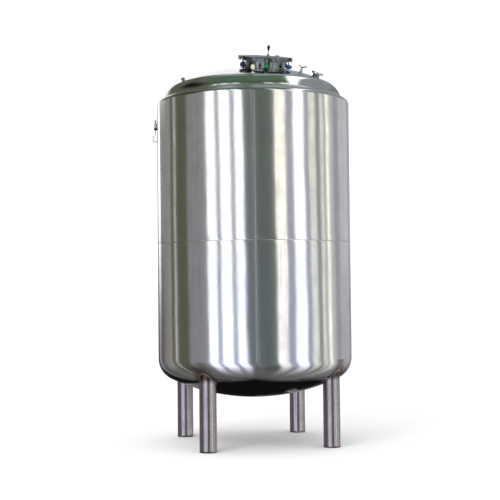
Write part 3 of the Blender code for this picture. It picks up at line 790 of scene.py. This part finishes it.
# %% Forks on the ring
def pin_plane(name, hanging):
    """Plane on a bolt's pin: Y along the pin, Z along the neck or, for a bolt, plumb up."""
    swing = joints[name + "_swing"]
    along = -Vector(swing["axis"]).normalized()
    up = Vector((0.0, 0.0, 1.0)) if hanging else manway_up
    up = (up - up.dot(along) * along).normalized()
    plane = Matrix((along.cross(up), along, up)).transposed().to_4x4()
    plane.translation = Vector(swing["pos_m"])
    return plane


CHEEK_NEAR, CHEEK_FAR = 0.007, 0.012
fork = twin_plates("cheek", mm((-28, -8.5), (-28, 8.5), (2, 9.5), (8, 6.5), (10, 0), (8, -6.5),
                               (2, -9.5)), CHEEK_NEAR, CHEEK_FAR)
web = cut_plate("web", mm((-30, -8.5), (-30, 8.5), (-22, 8.5), (-22, -8.5)),
                -CHEEK_FAR + 0.001, CHEEK_FAR - 0.001)
bevel(carve(fork, web, "UNION"), 0.0010)
fork_pin = spin_section("pin", mm(
    (0, 13.8), (5.8, 13.8), (6.2, 13.2), (6.2, 12.1), (4, 12.1), (4, -12.1), (6, -12.1),
    (6, -13.2), (3, -13.8), (0, -13.8)), 24)
for name in BOLTS:
    stand = pin_plane(name, False)
    hand_over(copy_as(fork, "fork_" + name[-1]), "tank", "steel", turned_steel, place=stand)
    hand_over(copy_as(fork_pin, "fork_pin_" + name[-1]), "tank", "steel", turned_steel,
              place=stand @ QUARTER_X)
discard(fork, fork_pin)

# %% [markdown]
# ## Swing bolts and knobs
#
# A swing bolt is an eye on a threaded shaft. Its knob is a turned plastic ball with shallow
# finger grooves. They could be cut with nine rods, but pressing them in is cleaner: the corners
# between two ribs are picked by their angle and drawn towards the axis. All six hang plumb.

# %% One bolt and one knob, then six copies
SHAFT_LENGTH = 0.036
GROOVES, GROOVE_DEPTH, GROOVE_FROM = 9.0, 0.07, 0.020
thread = [(0.0, -SHAFT_LENGTH - 0.006), (0.0052, -SHAFT_LENGTH - 0.006)]
for i in range(13):
    low = -SHAFT_LENGTH - 0.004 + 0.0018 * i
    thread += [(0.0052, low), (0.0060, low + 0.0009)]
thread += mm((5.5, -12), (5.5, -6), (0, -6))
shaft = spin_section("shaft", thread, 24)
eye = spin_section("eye", mm((9.8, 5.2), (9.8, -5.2), (8.8, -5.8), (4.4, -5.8), (4.4, 5.8),
                             (8.8, 5.8)), 32, True)
carve(shaft, move_to(eye, QUARTER_X), "UNION")
knob = spin_section("knob", mm(
    (0, 0), (10, 0), (11.5, -1), (13, -6), (18, -8), (24.5, -11), (29, -16), (31, -21),
    (31, -27), (29, -33), (24.5, -38), (18, -41.5), (12, -43.2), (6, -43.8), (0, -44)), 72)
for corner in knob.data.vertices:
    groove = max(0.0, math.cos(GROOVES * math.atan2(corner.co.y, corner.co.x))) ** 4
    if math.hypot(corner.co.x, corner.co.y) > GROOVE_FROM:
        corner.co.x *= 1.0 - GROOVE_DEPTH * groove
        corner.co.y *= 1.0 - GROOVE_DEPTH * groove
knob_looks = (("green_plastic", green_plastic), ("blue_plastic", blue_plastic),
              ("blue_plastic", blue_plastic), ("green_plastic", green_plastic),
              ("navy_plastic", navy_plastic), ("navy_plastic", navy_plastic))
for name, (slot, look) in zip(BOLTS, knob_looks):
    number, stand = name[-1], pin_plane(name, True)
    hand_over(copy_as(shaft, "eye_bolt_" + number), name, "steel", turned_steel,
              ("swing_bolt_" + number,), stand)
    hand_over(copy_as(knob, "knob_" + number), name, slot, look, ("bolt_knob_" + number,),
              stand @ lifted(-SHAFT_LENGTH), 50.0)
discard(shaft, knob)

# %% [markdown]
# ## The lid
#
# The lid is a spun cover with a faintly crowned middle and a deep turned-down skirt, cut out
# over each bolt. The cut-outs could be drawn in the section only if they went right round, so
# a rounded block is carved out six times. The lid rides on its own body and so it opens.

# %% Lid with its six cut-outs
LID_R = 0.275
LID_UNDER, LID_TOP = 0.096, 0.100
SKIRT_LOW = 0.060
SKIRT_WALL = 0.0035
RIM_BEND = 0.008
CROWN_EDGE, CROWN_RISE = 0.216, 0.006
SLOT_HALF = 0.020
rim_arc = [(LID_R - RIM_BEND + RIM_BEND * math.sin(math.radians(a)),
            LID_TOP - RIM_BEND + RIM_BEND * math.cos(math.radians(a))) for a in range(0, 91, 15)]
crown = [(CROWN_EDGE * i / 10.0, LID_TOP + CROWN_RISE * (1.0 - (i / 10.0) ** 2))
         for i in range(11)]
hem = [(LID_R, SKIRT_LOW + 0.001), (LID_R - 0.001, SKIRT_LOW), (LID_R - 0.0030, SKIRT_LOW),
       (LID_R - SKIRT_WALL, SKIRT_LOW + 0.001), (LID_R - SKIRT_WALL, LID_UNDER)]
lining = [(r, z - PLATE) for r, z in reversed(crown)]
lid = spin_section("lid_cover", crown + rim_arc + hem + lining, 192, True)
SLOT_SPOT = Matrix.Translation((0.275 - PIN_R, 0.0, LID_UNDER - PIN_HIGH - 0.012))
for name in BOLTS:
    tool = bevel(add(bpy.ops.mesh.primitive_cube_add, "slot", (0.060, 2.0 * SLOT_HALF, 0.060),
                     size=1.0), 0.010, 4)
    move_to(tool, pin_plane(name, False) @ SLOT_SPOT)
    carve(lid, move_to(tool, MANWAY.inverted()))
hand_over(lid, "lid", "polished_steel", lid_steel, ("manway_lid",), MANWAY)

# %% Handle: a coned foot, a thin rod and a teardrop grip
HANDLE = MANWAY @ Matrix.Translation((0.027, 0.0, LID_TOP + CROWN_RISE))
turned("handle_rod", mm((0, 56), (6, 56), (6, 32), (7.5, 27), (12, 14), (18, 6), (20, 3),
                        (20, 0), (0, 0)), 40, HANDLE, "lid", "steel", turned_steel,
       ("lid_handle",))
turned("handle_grip", mm(
    (0, 55), (3.5, 54.7), (8, 53.5), (11.8, 50.8), (14.5, 46.5), (16, 40), (15.7, 34),
    (14, 26.5), (11.5, 19), (9.5, 12), (8.4, 5), (8, 1), (7.2, 0), (0, 0)), 40,
       HANDLE @ lifted(0.0525), "lid", "black_plastic", black_plastic, ("lid_knob",), smooth=60.0)

# %% [markdown]
# ## The lid's hinge
#
# A bracket welded to the neck carries a pin behind the lid, and a flat arm on the lid turns on
# it. Boxes would hide that they are plate, so both are cut to an outline and rounded at the
# edges. Their plane is read from the joint, so the arm turns about its own pin.

# %% Hinge bracket, arm and pin
HINGE_R, HINGE_HIGH = 0.310, 0.086
ARM_HALF = 0.006
EAR_NEAR, EAR_FAR = 0.007, 0.013
hinge_along = Vector(joints["lid_hinge"]["axis"]).normalized()
hinge_out = manway_up.cross(hinge_along).normalized()
if hinge_out.dot(Vector(joints["lid_hinge"]["pos_m"]) - manway_spot) < 0.0:
    hinge_out = -hinge_out
HINGE = Matrix((hinge_out, manway_up.cross(hinge_out), manway_up)).transposed().to_4x4()
HINGE.translation = manway_spot
arm = cut_plate("lid_arm", mm(
    (222, 100.5), (279, 100.5), (298, 81), (303, 75), (310, 74), (317, 75), (322, 81),
    (322, 96), (307, 109.5), (222, 109.5)), -ARM_HALF, ARM_HALF)
hand_over(bevel(arm, 0.0012), "lid", "steel", turned_steel, ("hinge_arm",), HINGE)
bracket = twin_plates("lid_bracket", mm(
    (204.4, 28), (204.4, 52), (291, 52), (297, 89), (301, 95), (310, 98), (319, 95), (323, 89),
    (323, 44), (310, 36)), EAR_NEAR, EAR_FAR)
foot = cut_plate("foot", mm((203.6, 30), (203.6, 50), (210.5, 50), (210.5, 30)), -EAR_FAR,
                 EAR_FAR)
bevel(carve(bracket, foot, "UNION"), 0.0010)
hand_over(bracket, "tank", "steel", turned_steel, ("hinge_bracket",), HINGE)
turned("lid_pin", mm((0, 17), (7.5, 17), (8.5, 16), (8.5, 13.1), (5, 13.1), (5, -13.1),
                     (8.5, -13.1), (8.5, -16), (7.5, -17), (0, -17)), 32,
       HINGE @ Matrix.Translation((HINGE_R, 0.0, HINGE_HIGH)) @ QUARTER_X, "tank", "steel",
       turned_steel)

# %% [markdown]
# ## Port, plug and vent
#
# On the right of the dome stand a small valve with a winged handle and a capped port held by a
# clamp, and on the left a small plug. They are a few pixels tall from afar, but they break the
# dome's outline, so each is turned from its own section with the steps of the real one.

# %% Capped port with its clamp, drawn from the flange up
FLANGE = PORT @ lifted(0.037)
turned("port_neck", mm((45.5, -0.5), (45.5, -2.8), (42, -5), (37, -8.5), (35, -12),
                       (35, -48.5), (33, -48.5), (33, 0), (44.9, 0)), 64, FLANGE, "tank",
       "polished_steel", neck_steel, ("port_stub",), closed=True)
turned("port_lid", mm((0, 10), (33, 10), (35, 10.9), (38, 10.9), (40, 10), (45.5, 5.5),
                      (45.5, 0.5), (0, 0.5)), 64, FLANGE, "tank", "polished_steel", neck_steel,
       ("port_cap",))
clamp = spin_section("port_band", mm((51.5, 12.8), (53.2, 11), (53.5, 6), (53.5, -1), (53.2, -6),
                                     (51.5, -7.8), (46.4, -7.6), (46.4, 12.6)), 64, True)
lug = cut_plate("lug", mm((50, -5), (50, 10), (64, 10), (64, -5)), -0.009, 0.009)
carve(clamp, bevel(lug, 0.0015), "UNION")
hand_over(clamp, "tank", "steel", turned_steel, ("port_clamp",), FLANGE)
nut = cut_plate("clamp_wing_nut", mm((64.5, -0.5), (66, 6.5), (69, 13), (70, 14.5), (70, -8.5),
                                     (69, -7)), -0.003, 0.003)
hand_over(bevel(nut, 0.0008), "tank", "steel", turned_steel, place=FLANGE)

# %% Plug on the left
turned("blind_plug", mm(
    (0, 29.8), (10.5, 29.8), (12, 29.2), (19, 26.5), (20.5, 25), (20.5, 21.5), (19.5, 20.5),
    (19.5, 18.8), (20.5, 17.8), (20.5, 13), (19, 11.5), (17, 9.5), (17, -11.5), (0, -11.5)),
       48, PLUG, "tank", "polished_steel", neck_steel, ("small_plug",))

# %% Vent valve: a hexagon body under a slim stem
vent = spin_section("vent_body", mm(
    (0, 46), (5, 46), (5.5, 45.5), (5.5, 38), (9.5, 37.2), (10.5, 36), (11.8, 33), (11.8, 22),
    (13, 20), (15, 19), (15, 8), (16.5, 7), (16.5, -11.5), (0, -11.5)), 48)
hexagon = add(bpy.ops.mesh.primitive_cylinder_add, "hexagon", vertices=6, radius=0.0198,
              depth=0.0080, location=(0.0, 0.0, 0.0140))
carve(vent, bevel(hexagon, 0.0008), "UNION")
hand_over(vent, "tank", "steel", turned_steel, ("vent_valve",), VENT)

# %% Winged handle: one bare arm and one in a black grip
WING = VENT @ turned_by(12.0) @ lifted(0.0464)
wing = cut_plate("wing_lever", mm(
    (-8.5, 0), (8.5, 0), (12.5, 7.5), (42, 20), (44, 25), (40, 28), (10, 16.5), (0, 13.8),
    (-10, 16.5), (-40, 28), (-44, 25), (-42, 20), (-12.5, 7.5)), -0.0045, 0.0045)
hand_over(bevel(wing, 0.0018, 3), "wing", "dull_steel", dull_steel, ("wing_handle",), WING)
lean = Matrix.Translation((0.0165, 0.0, 0.0130)) @ Matrix.Rotation(math.radians(67.0), 4, "Y")
turned("wing_sleeve", mm((0, 0), (4.5, 0), (5.8, 2), (6.2, 12), (6.6, 25), (6, 28.5), (3.5, 30),
                         (0, 30)), 32, WING @ lean, "wing", "black_plastic", black_plastic,
       smooth=60.0)

# %% Small welds round the fittings on the dome
for name, plane, radius, half in (("port_weld", PORT, 0.0350, 0.0030),
                                  ("plug_weld", PLUG, 0.0170, 0.0025),
                                  ("vent_weld", VENT, 0.0165, 0.0025),
                                  ("gauge_weld", GAUGE, 0.0085, 0.0022)):
    hand_over(bead(name, radius + 0.001, half, 1.0, 72), "tank", "polished_steel", weld_steel,
              place=plane @ lifted(0.0002))

# %% [markdown]
# ## The gauge
#
# A round dial gauge stands on a short stem in front of the manway. The dial could be a picture,
# but drawn marks stay sharp at any size: one long and one short mark are modelled, and copies
# are turned round the face. It has a needle and no lettering.

# %% Gauge
FACE = GAUGE @ lifted(0.037) @ turned_by(-38.0) @ QUARTER_X
turned("gauge_foot", mm((0, 6), (6, 6), (8.5, 5), (8.5, -11.5), (0, -11.5)), 32, GAUGE, "tank",
       "steel", turned_steel, ("gauge_stem",))
turned("gauge_housing", mm(
    (0, 4), (26.2, 4), (26.4, 9), (27.5, 9.9), (29.2, 9.8), (30.5, 8.5), (31, 6), (30.6, 3.5),
    (30, 2), (30.2, -14), (29, -17.5), (26.2, -19.8), (0, -20)), 72, FACE, "tank",
       "dull_steel", turned_steel, ("gauge_case",))
turned("gauge_face", mm((0, 6.8), (25.6, 6.8), (26, 6.4), (26, 4.3), (0, 4.3)), 64, FACE,
       "tank", "dial_cream", dial_paint, ("gauge_dial",))

# %% Marks and needle
SWEEP, MARKS, LONG_EVERY = 270.0, 21, 5
lengths = {"long": 0.0045, "short": 0.0025}
patterns = {kind: add(bpy.ops.mesh.primitive_cube_add, kind, (0.0007, length, 0.0004), size=1.0)
            for kind, length in lengths.items()}
for i in range(MARKS):
    kind = "short" if i % LONG_EVERY else "long"
    angle = -SWEEP / 2.0 + SWEEP * i / (MARKS - 1)
    stand = FACE @ turned_by(angle) @ Matrix.Translation(
        (0.0, 0.0235 - lengths[kind] / 2.0, 0.0069))
    hand_over(copy_as(patterns[kind], f"mark_{i + 1}"), "tank", "black_plastic", ink,
              place=stand)
discard(*patterns.values())
needle = cut_plate("gauge_needle", mm((-1.4, -7), (1.4, -7), (0.9, 8), (0, 20), (-0.9, 8)),
                   -0.0003, 0.0003)
hand_over(needle, "tank", "black_plastic", ink,
          place=FACE @ turned_by(48.0) @ lifted(0.0082) @ QUARTER_X.inverted())

# %% [markdown]
# ## Fittings on the jacket's left side
#
# High on the left a small fitting with a black knob stands off the jacket on a stub, and below
# it a bent rod makes a hook. A curve with a bevel would give the rod too, but here it is swept
# as by hand: a circle is pulled straight out, spun round the bend and pulled up.

# %% Side fitting and its knob
SIDE_TURN = SEAM_TURN + math.pi + 16.5 * 2.0 * math.pi / 64.0
WALL_FLAT = SHELL_R * math.cos(math.pi / 64.0)
SIDE_HIGH, HOOK_HIGH = 3.292, 3.117


def on_wall(out, high):
    """Plane beside the jacket's left side at a distance from the tank's axis."""
    return Matrix.Rotation(SIDE_TURN, 4, "Z") @ Matrix.Translation((out, 0.0, high))


SIDE = on_wall(WALL_FLAT + 0.0175, SIDE_HIGH)
turned("side_valve", mm(
    (0, 52), (6, 51.5), (8, 50), (11, 44), (11, 36), (7.5, 32), (7.5, 24), (10, 21), (13.3, 18),
    (13.5, 1), (13.5, -14), (12, -20), (9, -27.7), (4.5, -28), (4.5, -108.5), (3.5, -110),
    (0, -110)), 40, SIDE, "tank", "steel", turned_steel, ("side_fitting",))
turned("side_boss", mm((0, 14), (8.5, 14), (8.5, 5), (10, 3.6), (18, 3), (19, 2), (19, -1),
                       (0, -1)), 40, on_wall(SHELL_R - 0.0005, SIDE_HIGH) @ QUARTER_Y, "tank",
       "steel", turned_steel)
turned("side_grip", mm(
    (10.5, -28), (14, -29.2), (16.2, -32), (16.5, -35), (16.5, -46), (16, -50), (14, -53),
    (11, -54), (5, -54), (5, -28)), 40, SIDE, "tank", "black_plastic", black_plastic,
       ("side_knob",), closed=True)

# %% Hook
HOOK_REACH, HOOK_BEND, HOOK_RISE, HOOK_ROD = 0.0425, 0.018, 0.065, 0.0045
hook = add(bpy.ops.mesh.primitive_circle_add, "hose_hook", vertices=20, radius=HOOK_ROD,
           fill_type="NGON", rotation=(0.0, math.pi / 2.0, 0.0))
bpy.ops.object.transform_apply(location=True, rotation=True, scale=True)
bpy.ops.object.mode_set(mode="EDIT")
bpy.ops.mesh.select_all(action="SELECT")
bpy.ops.mesh.extrude_region_move(
    TRANSFORM_OT_translate={"value": (HOOK_REACH - HOOK_BEND, 0.0, 0.0)})
bpy.ops.mesh.spin(steps=12, angle=math.pi / 2.0,
                  center=(HOOK_REACH - HOOK_BEND, 0.0, HOOK_BEND), axis=(0.0, 1.0, 0.0))
bpy.ops.mesh.extrude_region_move(
    TRANSFORM_OT_translate={"value": (0.0, 0.0, HOOK_RISE - HOOK_BEND)})
tidy_mesh()
hand_over(bevel(hook, 0.0012, 2, 60.0), "tank", "steel", turned_steel, ("side_hook",),
          on_wall(WALL_FLAT, HOOK_HIGH))
hand_over(bead("hook_weld", 0.0055, 0.0020, 1.0, 48), "tank", "steel", weld_steel,
          place=on_wall(SHELL_R, HOOK_HIGH) @ QUARTER_Y)

# %% [markdown]
# ## Inside the vessel
#
# With the lid open the inside shows. It could be rebuilt as smooth shells, but little of it is
# seen, so the wall and bottom keep their CAD shape and get the finish of unpolished plate.

# %% Finish for the CAD nodes that stay
for name in ("vessel_wall", "vessel_bottom"):
    node = frame["nodes"][name]
    node.data.materials.clear()
    node.data.materials.append(inner_steel)
    print(name, "painted as", inner_steel.name)

# %% [markdown]
# ## The room that the steel reflects
#
# A polished cylinder shows the whole room folded into upright stripes. Real lamps would light
# it too, but a room drawn by direction lets each stripe be placed. Two angles give a direction:
# `turn` goes round the compass, 0 behind the camera and growing towards +X, and `rise` goes up
# from the horizon. Upright panels stand all round, white and cream with darker flats between,
# and lean a little, as sheet that isn't quite plumb makes them. Only mirror rays see the room.
# The camera and matt surfaces see a plain pale studio.

# %% Room: tones and panels
TONES = {
    "white": (1.95, 1.95, 1.98), "cream": (1.72, 1.66, 1.44), "pale": (1.18, 1.18, 1.06),
    "silver": (0.70, 0.70, 0.71), "violet_grey": (0.45, 0.46, 0.52), "grey": (0.34, 0.33, 0.33),
    "slate": (0.18, 0.21, 0.21), "green_grey": (0.16, 0.19, 0.17), "olive": (0.14, 0.14, 0.10),
    "brown": (0.42, 0.39, 0.33), "leaf": (0.080, 0.140, 0.072), "high_leaf": (0.12, 0.20, 0.13),
    "dark_leaf": (0.014, 0.017, 0.009), "shade": (0.33, 0.36, 0.37), "haze": (0.40, 0.44, 0.46),
    "sky": (1.15, 1.17, 1.18), "dim_sky": (0.37, 0.41, 0.42), "night": (0.006, 0.006, 0.006)}
PANELS = (
    (-180, "grey"), (-158, "white"), (-147, "grey"), (-120, "brown"), (-114, "olive"),
    (-108, "silver"), (-103, "olive"), (-83, "grey"), (-56, "white"), (-44.5, "violet_grey"),
    (-38, "white"), (-26, "violet_grey"), (-20, "white"), (-11, "slate"), (-1, "grey"),
    (3, "green_grey"), (26, "cream"), (38, "violet_grey"), (48, "white"), (62, "violet_grey"),
    (70, "pale"), (79, "grey"), (87, "pale"), (92, "violet_grey"), (96, "cream"), (102, "silver"),
    (110, "violet_grey"), (122, "silver"), (150, "violet_grey"))
HALL = ((-180, "olive"), (-60, "green_grey"), (60, "grey"), (120, "green_grey"))
LEAN = 0.25
DEGREES = 180.0 / math.pi

# %% Room: its tree and its helpers
world = bpy.data.worlds.new("studio")
bpy.context.scene.world = world
world.use_nodes = True
world.cycles.sampling_method = "NONE"
tree = world.node_tree


def compass(value, panels):
    """Colour ramp that steps round the compass through a list of (angle, tone)."""
    ramp = add_node(tree, "ShaderNodeValToRGB", {"Fac": maths(
        tree, "MULTIPLY_ADD", value, 1.0 / 360.0, 0.5)})
    ramp.color_ramp.interpolation = "CONSTANT"
    stops = ramp.color_ramp.elements
    stops.remove(stops[1])
    stops[0].position = 0.0
    stops[0].color = (*TONES[panels[0][1]], 1.0)
    for angle, tone in panels[1:]:
        stops.new(angle / 360.0 + 0.5).color = (*TONES[tone], 1.0)
    return ramp.outputs[0]


def slope(value, low, high):
    """Mask of the room that grows from low to high, or falls where low is the greater."""
    return between(tree, value, low, high)


def both(first, *others):
    """Mask that is 1 only where all are."""
    for other in others:
        first = maths(tree, "MULTIPLY", first, other)
    return first


def window(value, low, high, soft):
    """Mask that is 1 between low and high, with soft edges."""
    return both(slope(value, low - soft, low + soft), slope(value, high + soft, high - soft))


def lay(mask, under, tone, blend="MIX"):
    """Lay a named or given tone over the room by a mask."""
    return cover(tree, mask, under, TONES[tone] if isinstance(tone, str) else tone, blend)


# %% Room: directions and walls
ray = split(tree, add_node(tree, "ShaderNodeTexCoord").outputs["Generated"])
back = maths(tree, "MULTIPLY", ray["Y"], -1.0)
turn = maths(tree, "MULTIPLY", maths(tree, "ARCTAN2", ray["X"], back), DEGREES)
rise = maths(tree, "MULTIPLY", maths(tree, "ARCSINE", ray["Z"]), DEGREES)
aside = maths(tree, "ABSOLUTE", turn)
leaning = maths(tree, "MULTIPLY_ADD", maths(tree, "MAXIMUM", rise, -25.0), LEAN, turn)
walls = compass(leaning, PANELS)
bluish = both(slope(rise, 4.0, 1.0), slope(aside, 100.0, 60.0))
left_low = both(slope(turn, -120.0, -150.0), slope(rise, 5.0, -3.0))
right_low = both(slope(turn, 115.0, 130.0), slope(rise, 3.0, -2.0))
for mask, shade in ((bluish, (0.96, 0.98, 1.10)), (left_low, (0.18, 0.17, 0.18)),
                    (right_low, (0.80, 0.78, 0.79))):
    walls = lay(mask, walls, shade, "MULTIPLY")

# %% Room: the floor darkens the panels downwards
fade = add_node(tree, "ShaderNodeValToRGB", {"Fac": maths(tree, "MULTIPLY_ADD", rise,
                                                          1.0 / 90.0, 1.0)})
stops = fade.color_ramp.elements
stops[0].position, stops[0].color = 0.1, (0.01, 0.01, 0.01, 1.0)
stops[1].position, stops[1].color = 0.85, (1.0, 1.0, 1.0, 1.0)
for fall, share in ((-60.0, 0.09), (-45.0, 0.24), (-30.0, 0.56)):
    stops.new(1.0 + fall / 90.0).color = (share, share, share, 1.0)
lower = lay(1.0, walls, fade.outputs[0], "MULTIPLY")
lower = lay(window(rise, -86.0, -38.0, 14.0), lower, (0.14, 0.13, 0.13), "ADD")
lower = lay(both(slope(aside, 125.0, 165.0), slope(rise, -3.0, -22.0)), lower, "night")

# %% Room: hall wall and canopy
eaves = maths(tree, "MULTIPLY_ADD", slope(aside, 72.0, 52.0), 23.0, 16.0)
above = slope(maths(tree, "SUBTRACT", rise, eaves), -8.0, 8.0)
canopy = lay(slope(aside, 55.0, 85.0), TONES["leaf"], compass(turn, HALL))
canopy = lay(slope(rise, 48.0, 62.0), canopy, "high_leaf")
canopy = lay(both(window(turn, -125.0, -78.0, 10.0), window(rise, 30.0, 48.0, 5.0)), canopy,
             "dark_leaf")
room = lay(above, lower, canopy)

# %% Room: strip light, arch of glare on the right, haze and sky behind
across = maths(tree, "MULTIPLY_ADD", ray["X"], 0.934, maths(tree, "MULTIPLY", ray["Y"], 0.358))
bent = maths(tree, "MULTIPLY_ADD", rise, 0.0015, across)
high = slope(rise, 18.0, 28.0)
beyond = maths(tree, "MAXIMUM", slope(across, 0.54, 0.60), slope(turn, 138.0, 150.0))
for tone, mask in (
        ("pale", both(window(turn, -166.0, -128.0, 6.0), window(rise, 10.0, 13.0, 1.5))),
        ("shade", both(beyond, high)),
        ("white", both(window(bent, 0.50, 0.645, 0.03), high, slope(turn, 152.0, 138.0))),
        ("haze", both(window(aside, 145.0, 168.0, 4.0), window(rise, 54.0, 80.0, 4.0))),
        ("sky", both(slope(turn, -164.0, -170.0), window(rise, 14.0, 56.0, 5.0))),
        ("dim_sky", both(slope(turn, 162.0, 168.0), window(rise, 12.0, 60.0, 5.0)))):
    room = lay(mask, room, tone)

# %% Pale studio for the camera and for matt surfaces
PALE = 1.12
glossy = add_node(tree, "ShaderNodeLightPath").outputs["Is Glossy Ray"]
tree.links.new(lay(glossy, (PALE, PALE, PALE), room), tree.nodes["Background"].inputs["Color"])
print("room of", len(PANELS), "panels in", len(tree.nodes), "nodes")

# %% [markdown]
# ## Floor and light
#
# The floor is a plain pale sheet that mirror rays don't see, because the room already holds what
# the steel shows below the horizon. One large soft lamp lifts the matt parts from the left.

# %% Floor and key light
floor_finish, tree, shader = blank_material("pale_floor")
shader.inputs["Base Color"].default_value = (0.95, 0.95, 0.95, 1.0)
shader.inputs["Roughness"].default_value = 0.9
shader.inputs["Specular IOR Level"].default_value = 0.0
floor = add(bpy.ops.mesh.primitive_plane_add, "studio_floor", size=120.0,
            location=(0.0, 0.0, -0.0005))
floor.data.materials.append(floor_finish)
floor.visible_glossy = False
bpy.ops.object.light_add(type="AREA", location=(-5.0, -8.0, 9.0))
key = bpy.context.object
key.data.shape = "DISK"
key.data.size = 5.0
key.data.energy = 350.0
key.visible_glossy = False
key.rotation_euler = (Vector((0.0, 0.0, 2.0)) - key.location).to_track_quat("-Z", "Y").to_euler()
bpy.context.scene.view_settings.view_transform = "Standard"
print("key light of", key.data.energy, "W at", [round(c, 1) for c in key.location])
